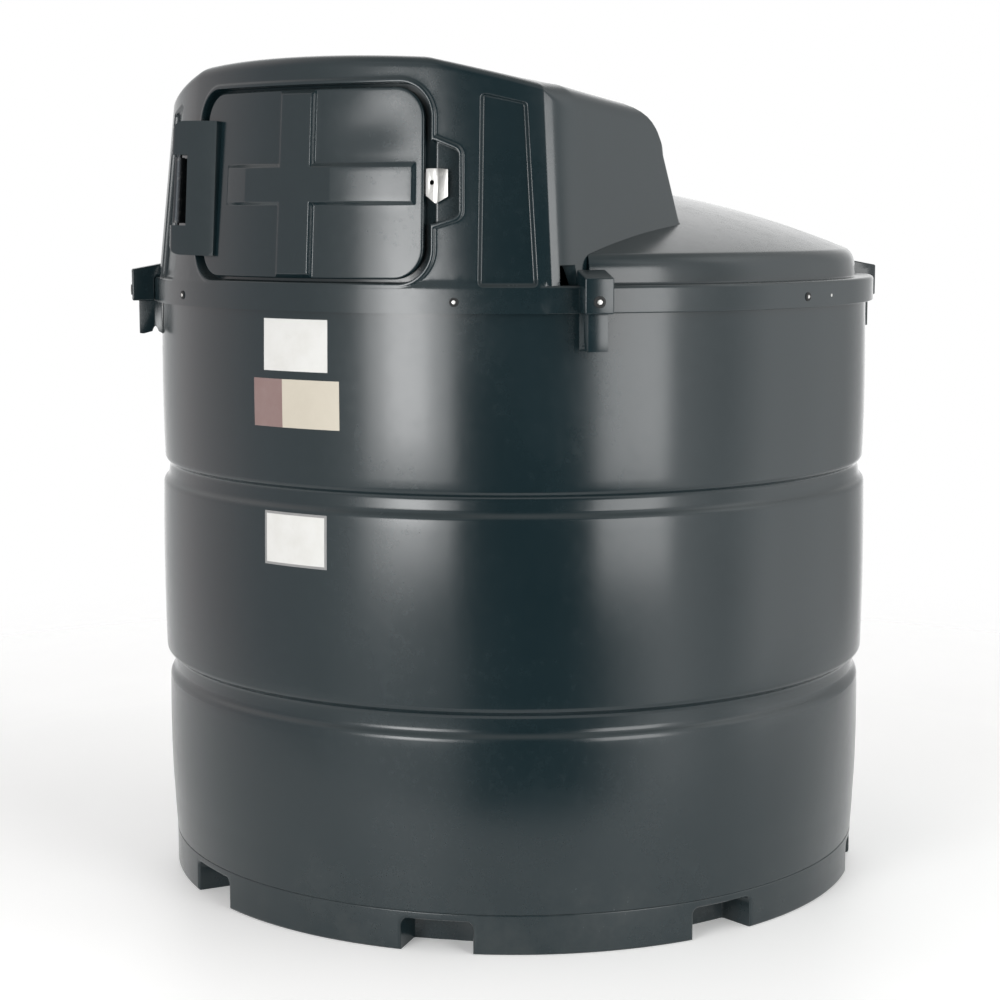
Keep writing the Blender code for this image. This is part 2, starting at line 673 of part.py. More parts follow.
def hinge(group, cutters, mat, steel):
    ax, ay = AXIS
    block = prism("hinge_moulding", hinge_outline(), HINGE_LOW, HINGE_HIGH, group, mat)
    slot_right = ax + SLOT_REACH
    slot = [(ax - 0.05, ay - 0.06), (slot_right, ay - 0.06), (slot_right, ay + 0.06), (ax - 0.05, ay + 0.06)]
    combine(block, prism("slot", slot, SLOT_LOW, SLOT_HIGH, cutters), "DIFFERENCE")
    bore = rod("bore", AXIS, PIN_R + 0.0006, HINGE_LOW + 0.012, HINGE_HIGH - 0.012, cutters)
    combine(block, bore, "DIFFERENCE")
    lean(block)
    below, above = HINGE_LOW - 0.1, HINGE_HIGH + 0.1
    clear = [(angle, below, above) for angle in (-34.0, -28.0, -24.0, SEAT_LEFT)]
    combine(block, face_slab("bead_clearance", clear, -0.1, BEAD_OUT + 0.0055, cutters), "DIFFERENCE")
    under = [SEAT_LEFT - 0.1] + [column[0] for column in leaf_columns() if column[0] < SEAT_RIGHT]
    seat = [(angle, below, above) for angle in under]
    combine(block, face_slab("seat", seat, -0.1, DOOR_OUT + GAP, cutters), "DIFFERENCE")
    low, high = SLOT_LOW + 0.006, SLOT_HIGH - 0.006
    plate_cols = [(-29.6, low, high), (-27.0, low, high), (-24.2, low, high)]
    plate = face_slab("hinge_plate", plate_cols, -0.003, 0.0055, group, steel)
    combine(plate, lean(rod("barrel", AXIS, 0.011, low, high, cutters)), "UNION")
    foot = Vector(polar(face_radius(1.78) + 0.002, -24.6))
    top = Vector(AXIS)
    side = (top - foot).normalized()
    wide = Vector((side[1], -side[0])) * 0.006
    web = [tuple(foot - wide), tuple(foot + wide), tuple(top + wide), tuple(top - wide)]
    combine(plate, lean(prism("web", web, low + 0.001, high - 0.001, cutters)), "UNION")
    facet = CREASE / HOOD_COLUMNS
    behind = [(-facet * k, low - 0.05, high + 0.05) for k in (7, 6, 5, 4)]
    combine(plate, face_slab("behind", behind, -0.1, GAP * 3, cutters), "DIFFERENCE")
    plate_bore = rod("plate_bore", AXIS, PIN_R + GAP, low - 0.05, high + 0.05, cutters)
    combine(plate, lean(plate_bore), "DIFFERENCE")
    lean(rod("hinge_pin", AXIS, PIN_R, HINGE_LOW + 0.0125, HINGE_HIGH - 0.0125, group, steel))


def latch(group, mat):
    """A folded steel strap on the door's free edge, reaching into the pocket in the hood."""
    columns = [(20.6, -0.0047, 1.757, 1.817), (21.6, -0.0047, 1.752, 1.817), (23.4, 0.003, 1.739, 1.818),
               (25.3, -0.004, 1.752, 1.816)]
    rings = []
    for angle, out, low, high in columns:
        rings.append([on_face(angle, low, out), on_face(angle, low, out + LATCH_T),
                      on_face(angle, high, out + LATCH_T), on_face(angle, high, out)])
    return loops("latch_plate", rings, group, mat)


def lugs(group, mat):
    names = [("front_right", 45), ("rear_right", 135), ("rear_left", 225), ("front_left", 315)]
    top = LUG_FACE_TOP
    for name, angle in names:
        turn = Matrix.Rotation(math.radians(angle), 4, "Z")
        inner = LUG_FRONT_R if "front" in name else LUG_REAR_R
        side = [(RIM_R + GAP, LUG_LOW), (LUG_OUT_R - 0.003, LUG_LOW), (LUG_OUT_R, LUG_LOW + 0.003),
                (LUG_OUT_R, top - 0.006), (LUG_OUT_R - 0.002, top - 0.002), (LUG_OUT_R - 0.006, top),
                (inner, top + (LUG_OUT_R - 0.006 - inner) * LUG_SLOPE), (inner, LEDGE_TOP + GAP),
                (LEDGE_R + GAP, LEDGE_TOP + GAP), (RIM_R + GAP, RIM_HIGH + GAP)]
        rings = []
        for x in (-LUG_W / 2, LUG_BEVEL - LUG_W / 2, LUG_W / 2 - LUG_BEVEL, LUG_W / 2):
            reach = LUG_OUT_R - (LUG_BEVEL if abs(x) == LUG_W / 2 else 0.0)
            rings.append([(x, -min(r, reach), z) for r, z in side])
        block = loops("lug_block_" + name, rings, group, mat)
        block.data.transform(turn)
        wall = BODY_R + 0.0012
        leg_side = [(wall, LEG_LOW), (wall + 0.010, LEG_LOW + 0.004), (wall + 0.018, LEG_ARCH - 0.003),
                    (wall + 0.026, LEG_ARCH), (wall + 0.034, LEG_ARCH - 0.003),
                    (LEG_OUT_R - 0.014, LEG_LOW + 0.004), (LEG_OUT_R - 0.009, LEG_LOW),
                    (LEG_OUT_R - 0.003, LEG_LOW + 0.001), (LEG_OUT_R, LEG_LOW + 0.007),
                    (LEG_OUT_R, LUG_LOW - GAP), (RIM_R, LUG_LOW - GAP), (RIM_R, RIM_LOW - GAP),
                    (wall, RIM_LOW - GAP)]
        rings = []
        for side_of in (-1, 1):
            ring = []
            for r, z in leg_side:
                share = min(1.0, max(0.0, (r - wall) / 0.020))
                half = (LEG_ROOT_W + (LEG_W - LEG_ROOT_W) * share) / 2
                ring.append((side_of * half, -r, z))
            rings.append(ring)
        leg = loops("lug_leg_" + name, rings, group, mat)
        leg.data.transform(turn)


def hang(ob):
    """Puts a moving piece's origin on the hinge pin's axis."""
    origin = Vector((AXIS[0], AXIS[1], (HINGE_LOW + HINGE_HIGH) / 2))
    ob.data.transform(Matrix.Translation(-origin))
    ob.location = origin


def build():
    clear_scene()
    tank = collection("bunded_fuel_tank")
    cutters = collection("cutters")
    plastic = material("moulded_plastic", PLASTIC, rough=0.38)
    walls(tank, plastic)
    base(tank, cutters, plastic)
    rear_cover(tank, cutters, plastic)
    hood(tank, cutters, plastic)
    cabinet_floor(tank, cutters, plastic)
    door(tank, cutters, plastic)
    steel = material("steel", STEEL, metal=1.0, rough=0.3)
    hinge(tank, cutters, plastic, steel)
    latch(tank, steel)
    lugs(tank, plastic)
    for name in ("door", "hinge_moulding", "latch_plate"):
        hang(bpy.data.objects[name])
    for ob in list(cutters.objects):
        ob.hide_render = True
        ob.display_type = "WIRE"
    for ob in tank.objects:
        ob.data.materials[0] = ob.data.materials[0].copy()
        ob.data.materials[0].name = ob.name


build()
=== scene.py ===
"""Finish and fittings of a bunded vertical fuel tank with a dispensing cabinet.

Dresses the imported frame: ribbed wall, domed cover, hood, door, hinge, latch, lugs, bolts and blank labels.
Metres, +Z up, front (door) toward -Y. Angles are in degrees from the front, positive to the right."""
import math

import bmesh
import bpy
import numpy as np
from bpy.props import FloatProperty, FloatVectorProperty, PointerProperty
from mathutils import Matrix, Vector
from mathutils.geometry import delaunay_2d_cdt
from mathutils.kdtree import KDTree


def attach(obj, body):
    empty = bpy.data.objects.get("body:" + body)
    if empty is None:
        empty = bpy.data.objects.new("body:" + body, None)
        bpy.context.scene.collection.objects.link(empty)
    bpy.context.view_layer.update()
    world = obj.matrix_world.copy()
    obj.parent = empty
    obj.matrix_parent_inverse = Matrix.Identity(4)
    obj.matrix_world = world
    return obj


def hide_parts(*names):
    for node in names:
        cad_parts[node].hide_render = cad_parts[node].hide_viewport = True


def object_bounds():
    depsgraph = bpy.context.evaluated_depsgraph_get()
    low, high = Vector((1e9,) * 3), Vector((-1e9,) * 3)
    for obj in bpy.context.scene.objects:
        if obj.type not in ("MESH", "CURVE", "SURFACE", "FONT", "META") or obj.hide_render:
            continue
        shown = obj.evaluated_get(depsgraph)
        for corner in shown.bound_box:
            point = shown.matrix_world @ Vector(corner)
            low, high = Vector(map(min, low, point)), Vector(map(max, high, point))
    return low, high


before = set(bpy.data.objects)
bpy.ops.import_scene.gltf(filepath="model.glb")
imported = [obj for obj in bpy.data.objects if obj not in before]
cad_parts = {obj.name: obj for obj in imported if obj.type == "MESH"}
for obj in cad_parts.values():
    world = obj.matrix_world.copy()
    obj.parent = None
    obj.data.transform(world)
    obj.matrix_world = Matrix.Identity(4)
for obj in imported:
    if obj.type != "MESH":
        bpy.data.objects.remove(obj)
CAD_LOW, CAD_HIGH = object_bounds()

bl_info = {
    "name": "Bunded fuel tank",
    "version": (1, 0, 0),
    "blender": (4, 5, 0),
    "location": "View3D > Sidebar > Fuel tank",
    "description": "Finishes a bunded vertical fuel tank around its packed frame",
    "category": "Object",
}

TANK = "tank"
LEAF = "door_leaf"

# Wall
BODY_R = 0.925
MIDDLE_R = 0.930
LOWER_R = 0.922
BASE_R = 0.913
WALL = 0.010
GAP = 0.0003
BAND_DEPTH = 0.013
UPPER_BAND = (1.031, 1.089)
LOWER_BAND = (0.518, 0.584)
BAND_EDGE = 0.012
BASE_TOP = 0.096
BEND = 0.20
WALL_TOP = 1.5397
BARREL = 0.003
TIERS = ((BEND, LOWER_BAND[0]), (LOWER_BAND[1], UPPER_BAND[0]), (UPPER_BAND[1], 1.470))

# Base ring
RING_INNER_R = 0.790
NOTCHES = 8
NOTCH_ANGLE = 11.0
NOTCH_TOP = 0.078
NOTCH_DEPTH = 0.095

# Rim and rear cover
RIM_R = 0.944
RIM_LOW = 1.496
RIM_HIGH = 1.553
LEDGE_TOP = 1.558
LEDGE_R = 0.939
COVER_R = 0.898
SKIRT_IN = 0.882
SEAT = 0.0005
JOINT_ANGLE = 45.0
DOME_APEX = 1.8056
DOME_CURVE = 0.23416
DOME_T = 0.009
JOINT_GAP = 0.0008
PROUD = 0.0003

# Hood
# The face is laid out flat as (along, height), where along is FLAT times the angle in radians
FLAT = 0.925
FACE_R = 0.940
FACE_LEAN = 0.0737
CREASE = 39.3
FACE_EDGE = 38.6
HOOD_FOOT = 1.540
CREASE_TUCK = 0.014
CREASE_TURN = 0.025
FLARE_FOOT = (0.622, -0.665)
FLARE_TOP = (0.583, -0.640)
REAR_FOOT = (0.682, -0.213)
REAR_TOP = (0.594, -0.286)
CROWN_TOP = 2.075
SHOULDER_TOP = 2.066
SHOULDER = 23.0
CREASE_TOP = 2.014
FLARE_TOP_Z = 2.009
REAR_TOP_Z = 1.981
REAR_CROWN_TOP = 2.034
FRONT_ROUND = 0.028
SIDE_ROUND = 0.062
REAR_ROUND = 0.170
STRIP_BOW = (0.0070, 0.0040)
STRIP_OUT = (0.92, -0.4)
CREASE_SHARES = (0.14, 0.28, 0.42)
RIM_FROM = 37.6
LUG_ROOM_FROM = 40.4
SKIN = 0.010
FRONT_SKIN = 0.035
REBATE_LIP = 0.022
POCKET_DEPTH = 0.014
POCKET_STEP = 0.009

# Outlines on the hood's face: corners as (angle, height), with the radius of their rounding
OPENING = ([(-20.7, 1.562), (22.6, 1.562), (22.6, 2.009), (-20.7, 2.009)], 0.078)
LATCH_POCKET = ([(21.9, 1.690), (26.6, 1.713), (26.6, 1.858), (21.9, 1.888)], 0.016)
SIDE_PANEL = ([(29.2, 1.556), (37.3, 1.556), (36.6, 1.963), (29.8, 1.985)], 0.010)
DOOR = ([(-19.7, 1.571), (21.5, 1.571), (21.5, 2.000), (-19.7, 2.000)], 0.072)
DOOR_OUT = -0.005
DOOR_IN = -0.019
DOOR_ROUND = 0.006
BAR_MARGIN = 0.003
BAR_CENTRE = 1.1
BAR_HALF = 3.25
CROSS_LOW, CROSS_HIGH = 1.737, 1.832
ARM_LEFT, FOLD_LEFT, FOLD_RIGHT, ARM_RIGHT = -13.4, -8.3, 7.4, 20.3
ARM_LEFT_TOP, FOLD_TOP, MIDDLE_TOP, ARM_RIGHT_TOP = 0.0, 0.0070, 0.0035, -0.0010
BAR_CORNER = 0.004
DISH = 0.0035

# Hinge
AXIS = (-0.3789, -0.8799)
KNUCKLE_R = 0.018
HINGE_LOW, HINGE_HIGH = 1.620, 1.938
LOBE_LOW, LOBE_HIGH, LOBE_WIDTH = 0.034, 0.046, 0.044
HINGE_LEAN = 0.055
HINGE_SKEW = -2.0
HINGE_END = -15.7
HINGE_END_OUT = 0.0060
SEAT_LEFT = -20.1
END_ROUND = 0.012
SLOT_LOW, SLOT_HIGH = 1.690, 1.858
SLOT_REACH = 0.041
BEAD_OUT = 0.005

# Latch: its sections as (angle, offset from the face, foot, top), from the fold behind the door's edge
LATCH = ((21.53, -0.0160, 1.762, 1.810), (21.63, -0.0160, 1.762, 1.810), (21.85, -0.0046, 1.757, 1.817),
         (22.2, -0.0030, 1.754, 1.818), (22.9, 0.0010, 1.745, 1.818), (23.4, 0.0030, 1.740, 1.818),
         (23.9, 0.0016, 1.745, 1.818), (24.5, -0.0015, 1.751, 1.817), (25.0, -0.0036, 1.756, 1.816))
LATCH_THICK = 0.003
LOCK_HOLE = (22.75, 1.787)
LOCK_HOLE_R = 0.0055

# Clamp lugs
LUG_OUT_R = 1.001
LUG_W = 0.066
LUG_LOW = 1.497
LUG_FACE_TOP = 1.577
LUG_SLOPE = 0.20
LUG_FRONT_R, LUG_REAR_R = 0.9130, COVER_R + 0.0012
LEG_W = 0.046
LEG_ROOT_W = 0.060
LEG_OUT_R = 0.984
LEG_LOW = 1.412
LEG_ARCH = 1.431

# Bolts: hex heads in moulded cups, as rings of (radius past the cup's or head's, height) and (share, height)
BOLT_RISE = 0.0036
LUG_BOLT_Z, RIM_BOLT_Z = 1.524, 1.522
RIM_BOLTS = (-82.0, -24.6, 25.9, 81.6, 88.2, 120.0, 157.5, -157.5, -120.0, -88.2)
CUP_OUTSIDE = ((0.0, -0.001), (0.0, 0.0010), (-0.0006, 0.0020), (-0.0016, 0.0025))
CUP_INSIDE = ((0.0022, 0.0025), (0.0014, 0.0020), (0.0012, 0.0006))
HEAD = ((1.0, 0.0003), (1.0, 0.0026), (0.86, 0.0034), (0.5, BOLT_RISE))

# Labels as (name, angles, heights, thickness as a share, finish); the lower one lies on its frame
LABELS = (("label_upper", (-5.0, 6.6), (1.356, 1.477), 1.0, "white_label"),
          ("label_middle_left", (-7.1, -1.5), (1.224, 1.337), 1.0, "red_label"),
          ("label_middle_right", (-1.5, 8.5), (1.224, 1.337), 1.0, "beige_label"),
          ("label_lower_frame", (-5.1, 6.3), (0.898, 1.025), 1.0, "grey_label"),
          ("label_lower", (-4.7, 5.9), (0.904, 1.019), 1.6, "white_label"))

LUG_ANGLES = {"front_right": 45, "rear_right": 135, "rear_left": 225, "front_left": 315}
WALL_NODES = ["bund_wall_" + part for part in
              ("front", "front_right", "right", "rear_right", "rear", "rear_left", "left", "front_left")]

TURN_STEPS = 288

# Azimuth of the dark stretch of wall, which is also the camera's
DARK_WALL = 34.0

# The room's walls as (azimuth, colour); the strength of the room multiplies them
ROOM = ((-146, 0.90), (-134, 0.85), (-124, 0.46), (-110, 0.40), (-96, (0.46, 0.43, 0.43)),
        (-70, (0.46, 0.42, 0.42)), (-52, (0.38, 0.37, 0.38)), (-30, 0.40), (-16, 0.55), (14, 0.40), (22, 0.05),
        (32, 0.01), (52, 0.01), (60, 0.12), (84, 0.90), (104, 0.58), (120, 0.95), (140, 0.68), (168, 0.30),
        (188, 0.34), (200, 0.80), (214, 0.90))

# Soft boxes as (name, property of their power, azimuth, height, distance, size, height that they aim at)
LIGHTS = (("left_box", "left_power", 4.0, 1.5, 5.48, (2.5, 2.5), 1.4),
          ("left_box_core", "core_power", 4.0, 1.6, 5.4, (1.2, 2.2), 1.4),
          ("right_box", "right_power", 68.2, 1.9, 5.5, (2.1, 3.4), 1.8))

# The photograph's camera: angles in degrees, the rest in metres but for the lens and sensor in millimetres
LENS, SENSOR = 77.1, 36.0
CAMERA_AROUND, CAMERA_PITCH, CAMERA_YAW, CAMERA_ROLL = 34.0, 7.70, 0.364, -0.07
CAMERA_DISTANCE, CAMERA_HEIGHT = 5.727, 1.725


class Wire:
    """One value in a material's node tree. Arithmetic on it adds Math nodes."""

    def __init__(self, tree, socket):
        self.tree = tree
        self.socket = socket

    def maths(self, operation, *values):
        node = self.tree.nodes.new("ShaderNodeMath")
        node.operation = operation
        for socket, value in zip(node.inputs, values):
            join(self.tree, socket, value)
        return Wire(self.tree, node.outputs[0])

    def __add__(self, other):
        return self.maths("ADD", self, other)

    def __radd__(self, other):
        return self.maths("ADD", other, self)

    def __sub__(self, other):
        return self.maths("SUBTRACT", self, other)

    def __rsub__(self, other):
        return self.maths("SUBTRACT", other, self)

    def __mul__(self, other):
        return self.maths("MULTIPLY", self, other)

    def __rmul__(self, other):
        return self.maths("MULTIPLY", other, self)

    def __truediv__(self, other):
        return self.maths("DIVIDE", self, other)

    def __rtruediv__(self, other):
        return self.maths("DIVIDE", other, self)

    def __pow__(self, other):
        return self.maths("POWER", self, other)

    def band(self, low, high):
        """0 below low, 1 above high, with a smooth step between."""
        t = ((self - low) / (high - low)).maths("MAXIMUM", (self - low) / (high - low), 0.0)
        t = t.maths("MINIMUM", t, 1.0)
        return t * t * (3.0 - 2.0 * t)


def join(tree, socket, value):
    if isinstance(value, Wire):
        tree.links.new(value.socket, socket)
    else:
        socket.default_value = value


class Nodes:
    """A node tree under construction, with the one way to add any node that isn't plain maths."""

    def __init__(self, tree, shader):
        self.tree = tree
        self.shader = tree.nodes[shader]

    def set(self, name, value):
        join(self.tree, self.shader.inputs[name], value)

    def node(self, kind, settings=None, output=0, **values):
        """Adds a node. Settings go first; a value's key is its socket's identifier, with _ for a space."""
        node = self.tree.nodes.new("ShaderNode" + kind)
        for key, setting in (settings or {}).items():
            if key == "stops":
                set_stops(node.color_ramp, setting)
            else:
                setattr(node, key, setting)
        for key, value in values.items():
            for socket in node.inputs:
                if socket.enabled and key in (socket.name.replace(" ", "_"), socket.identifier):
                    join(self.tree, socket, value)
                    break
        return Wire(self.tree, node.outputs[output])

    def place(self, x=1.0, y=1.0, z=1.0):
        """Object coordinates, stretched along each axis."""
        spot = self.node("TexCoord", output=3)
        return self.node("VectorMath", {"operation": "MULTIPLY"}, Vector=spot, Vector_001=(x, y, z))

    def noise(self, scale, detail=3.0, rough=0.5, spot=None):
        return self.node("TexNoise", Scale=scale, Detail=detail, Roughness=rough, Vector=spot or self.place())

    def mix(self, share, first, second):
        """A colour between two colours."""
        return self.node("Mix", {"data_type": "RGBA"}, output=2, Factor_Float=share, A_Color=first,
                         B_Color=second)

    def parts(self, spot, axis):
        return self.node("SeparateXYZ", output=axis, Vector=spot)

    def bump(self, height, strength, distance=0.001, below=None):
        values = {"Height": height, "Strength": strength, "Distance": distance}
        if below is not None:
            values["Normal"] = below
        return self.node("Bump", **values)


class Finish(Nodes):
    """A material under construction."""

    def __init__(self, name, colour, roughness, metallic=0.0):
        self.material = bpy.data.materials.new(name)
        self.material.use_nodes = True
        super().__init__(self.material.node_tree, "Principled BSDF")
        self.set("Base Color", (*colour, 1.0))
        self.set("Roughness", roughness)
        self.set("Metallic", metallic)


def set_stops(ramp, stops):
    """Puts (place, colour or grey) stops on a ramp."""
    while len(ramp.elements) > 2:
        ramp.elements.remove(ramp.elements[-1])
    for i, (place, shade) in enumerate(stops):
        stop = ramp.elements[i] if i < 2 else ramp.elements.new(place)
        stop.position = place
        stop.color = (*np.resize(shade, 3), 1.0)


def rgba(colour):
    return (*colour, 1.0)


def moulded_finish(name, colour, paler, roughness):
    """Rotomoulded polyethylene: mottled tone, fine grain, faint run marks, dust on what faces up."""
    finish = Finish(name, colour, roughness)
    spot = finish.place()
    cloud = finish.noise(1.7, 4.0, 0.6).band(0.35, 0.68)
    fleck = finish.noise(42.0, 5.0, 0.7).band(0.45, 0.75)
    runs = finish.noise(1.0, 3.0, 0.6, finish.place(9.0, 9.0, 0.8)).band(0.50, 0.78)
    facing = finish.parts(finish.node("NewGeometry", output=1), 2)
    dust = facing.band(0.25, 1.0) * (0.35 + 0.5 * finish.noise(6.0, 6.0, 0.65))
    low = 1.0 - finish.parts(spot, 2).band(0.02, 0.30)
    dirt = low * finish.noise(5.0, 6.0, 0.7).band(0.40, 0.75)
    tone = finish.mix(0.35 * cloud + 0.18 * fleck + 0.22 * runs, rgba(colour), rgba(paler))
    tone = finish.mix(0.14 * dust, tone, (0.34, 0.35, 0.34, 1.0))
    tone = finish.mix(0.12 * dirt, tone, (0.12, 0.12, 0.11, 1.0))
    finish.set("Base Color", tone)
    finish.set("Roughness", roughness + 0.05 * cloud + 0.10 * dust + 0.08 * dirt + 0.04 * fleck)
    grain = finish.bump(finish.noise(420.0, 2.0, 0.5), 0.10, 0.0005)
    ripple = finish.bump(finish.noise(26.0, 3.0, 0.5), 0.025, 0.003, grain)
    finish.set("Normal", ripple)
    return finish.material


def steel_finish(name, colour, roughness):
    """Rolled and plated steel: brushed along one way, with dull spots."""
    finish = Finish(name, colour, roughness, 1.0)
    brushed = finish.noise(60.0, 4.0, 0.6, finish.place(1.0, 1.0, 14.0))
    spots = finish.noise(70.0, 5.0, 0.7).band(0.52, 0.72)
    finish.set("Base Color", finish.mix(0.45 * spots, rgba(colour), (0.30, 0.29, 0.27, 1.0)))
    finish.set("Roughness", roughness + 0.18 * spots + 0.14 * brushed)
    finish.set("Normal", finish.bump(brushed, 0.12, 0.0004))
    return finish.material


def label_finish(name, colour, edge):
    """Printed vinyl, slightly yellowed, with faint wrinkles."""
    finish = Finish(name, colour, 0.38)
    age = finish.noise(14.0, 4.0, 0.6).band(0.35, 0.75)
    wear = finish.noise(60.0, 5.0, 0.7).band(0.60, 0.80)
    tone = finish.mix(0.35 * age, rgba(colour), rgba(edge))
    finish.set("Base Color", finish.mix(0.25 * wear, tone, (0.30, 0.30, 0.29, 1.0)))
    finish.set("Roughness", 0.34 + 0.16 * age)
    finish.set("Normal", finish.bump(finish.noise(30.0, 3.0, 0.5), 0.08, 0.001))
    return finish.material


def polar(radius, angle):
    a = np.radians(angle)
    return np.stack(np.broadcast_arrays(radius * np.sin(a), -radius * np.cos(a)), axis=-1)


class Surface:
    """Gathers patches of points and joins them into one mesh object."""

    def __init__(self):
        self.points = []
        self.faces = []
        self.count = 0

    def add(self, points, faces):
        points = np.asarray(points, float).reshape(-1, 3)
        self.points.append(points)
        self.faces += [tuple(i + self.count for i in face) for face in faces]
        self.count += len(points)

    def loft(self, rows, round_rows=False, round_stack=False):
        """Quads between rows of points of equal length."""
        rows = np.asarray(rows, float)
        n, m = rows.shape[:2]
        faces = []
        for i in range(n if round_stack else n - 1):
            k = (i + 1) % n
            for j in range(m if round_rows else m - 1):
                q = (j + 1) % m
                faces.append((i * m + j, i * m + q, k * m + q, k * m + j))
        self.add(rows, faces)

    def cap(self, ring):
        self.add(ring, [tuple(range(len(ring)))])

    def make(self, name, finish, body=TANK, sharp=35.0, merge=1e-5):
        mesh = bpy.data.meshes.new(name)
        mesh.from_pydata([tuple(p) for p in np.concatenate(self.points)], [], self.faces)
        bm = bmesh.new()
        bm.from_mesh(mesh)
        bmesh.ops.remove_doubles(bm, verts=bm.verts, dist=merge)
        bmesh.ops.dissolve_degenerate(bm, edges=bm.edges, dist=merge)
        bmesh.ops.recalc_face_normals(bm, faces=bm.faces)
        if bm.calc_volume(signed=True) < 0:
            bmesh.ops.reverse_faces(bm, faces=bm.faces)
        bm.to_mesh(mesh)
        bm.free()
        ob = bpy.data.objects.new(name, mesh)
        bpy.context.scene.collection.objects.link(ob)
        return dress(ob, finish, body, sharp)


def dress(ob, finish, body, sharp):
    """Shades a piece, gives it its finish and sets it riding; body None leaves a cutter as it is."""
    if body is None:
        return ob
    ob.data.materials.clear()
    ob.data.materials.append(finish)
    for face in ob.data.polygons:
        face.material_index = 0
    ob.data.shade_smooth()
    ob.data.set_sharp_from_angle(angle=math.radians(sharp))
    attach(ob, body)
    return ob


def settle(ob):
    """Applies a piece's modifiers."""
    graph = bpy.context.evaluated_depsgraph_get()
    made = bpy.data.meshes.new_from_object(ob.evaluated_get(graph), depsgraph=graph)
    ob.modifiers.clear()
    ob.data = made


def carve(ob, other, how="DIFFERENCE", solver="MANIFOLD"):
    """Joins or cuts a piece with another, which is used up."""
    mod = ob.modifiers.new(how.lower(), "BOOLEAN")
    mod.operation = how
    mod.solver = solver
    mod.object = other
    bpy.context.view_layer.update()
    before = len(ob.data.polygons)
    settle(ob)
    if len(ob.data.polygons) in (0, before):
        raise RuntimeError(f"the {how.lower()} on {ob.name} changed nothing")
    bpy.data.objects.remove(other)


def round_edges(ob, width, parts=3, angle=35.0):
    mod = ob.modifiers.new("edges", "BEVEL")
    mod.width = width
    mod.segments = parts
    mod.limit_method = "ANGLE"
    mod.angle_limit = math.radians(angle)
    mod.use_clamp_overlap = True
    settle(ob)


def merge_flat(ob, angle=1.0):
    """Joins coplanar faces, so that a bevel finds clean edges."""
    bm = bmesh.new()
    bm.from_mesh(ob.data)
    bmesh.ops.dissolve_limit(bm, angle_limit=math.radians(angle), verts=bm.verts, edges=bm.edges)
    bm.to_mesh(ob.data)
    bm.free()


def soft_line(corners, steps=5):
    """A line of (r, z) points whose inner corners, given as (r, z, reach), are rounded."""
    line = [np.array(corners[0][:2])]
    for before, corner, after in zip(corners, corners[1:], corners[2:]):
        p, c, q = (np.array(point[:2]) for point in (before, corner, after))
        reach = corner[2] if len(corner) > 2 else 0.0
        if not reach:
            line.append(c)
            continue
        back, ahead = p - c, q - c
        a = c + back * min(0.45, reach / np.linalg.norm(back))
        b = c + ahead * min(0.45, reach / np.linalg.norm(ahead))
        for k in range(steps + 1):
            t = k / steps
            line.append((1 - t) ** 2 * a + 2 * t * (1 - t) * c + t ** 2 * b)
    line.append(np.array(corners[-1][:2]))
    return np.array(line)


def refine(line, most):
    """Adds points to a line so that no step is longer than most."""
    out = [line[0]]
    for a, b in zip(line, line[1:]):
        parts = max(1, math.ceil(np.linalg.norm(b - a) / most))
        out += [a + (b - a) * k / parts for k in range(1, parts + 1)]
    return np.array(out)


def solid_of(name, rings, merge=1e-5):
    """A closed form through rings of points, capped at both ends, with no finish as yet."""
    surface = Surface()
    surface.loft(rings, round_rows=True)
    surface.cap(rings[0])
    surface.cap(rings[-1])
    return surface.make(name, None, body=None, merge=merge)


def turned(name, line, start=0.0, end=360.0, steps=TURN_STEPS):
    """A closed (r, z) line turned about the tank's axis, with no finish as yet."""
    full = end - start >= 360.0
    angles = start + (end - start) * np.arange(steps if full else steps + 1) / steps
    rings = [np.column_stack([polar(line[:, 0], a), line[:, 1]]) for a in angles]
    if not full:
        return solid_of(name, rings)
    surface = Surface()
    surface.loft(rings, round_rows=True, round_stack=True)
    return surface.make(name, None, body=None)


def corner_centres(corners, radius):
    """Centres of a convex outline's rounded corners, with the outward direction before and after each."""
    corners = np.asarray(corners, float)
    ahead = np.roll(corners, -1, axis=0) - corners
    ahead /= np.linalg.norm(ahead, axis=1)[:, None]
    outward = np.stack([ahead[:, 1], -ahead[:, 0]], axis=1)
    before = np.roll(outward, 1, axis=0)
    mitre = (before + outward) / (1 + (before * outward).sum(axis=1))[:, None]
    return corners - mitre * radius, before, outward


def rounded_loop(corners, radius, offset, step=0.003):
    """Points round a convex outline with rounded corners, pushed out by offset. Their count stays the same."""
    centres, before, outward = corner_centres(corners, radius)
    loop = []
    for i, centre in enumerate(centres):
        n0, n1 = before[i], outward[i]
        start = math.atan2(n0[1], n0[0])
        turn = math.atan2(n0[0] * n1[1] - n0[1] * n1[0], n0 @ n1)
        parts = max(3, round(abs(turn) * radius / step))
        for k in range(parts + 1):
            a = start + turn * k / parts
            loop.append(centre + (radius + offset) * np.array((math.cos(a), math.sin(a))))
        following = centres[(i + 1) % len(centres)]
        parts = max(1, round(np.linalg.norm(following - centre) / step))
        for k in range(1, parts):
            loop.append(centre + (following - centre) * k / parts + n1 * (radius + offset))
    return np.array(loop)


def outline_distance(points, corners, radius):
    """Distance of points from a convex outline with rounded corners, negative inside."""
    centres, _, outward = corner_centres(corners, radius)
    inner = np.full(len(points), -np.inf)
    reach = np.full(len(points), np.inf)
    for i, centre in enumerate(centres):
        side = centres[(i + 1) % len(centres)] - centre
        away = points - centre
        inner = np.maximum(inner, away @ outward[i])
        share = np.clip(away @ side / (side @ side), 0.0, 1.0)
        reach = np.minimum(reach, np.linalg.norm(away - share[:, None] * side, axis=1))
    return np.where(inner <= 0, inner, reach) - radius


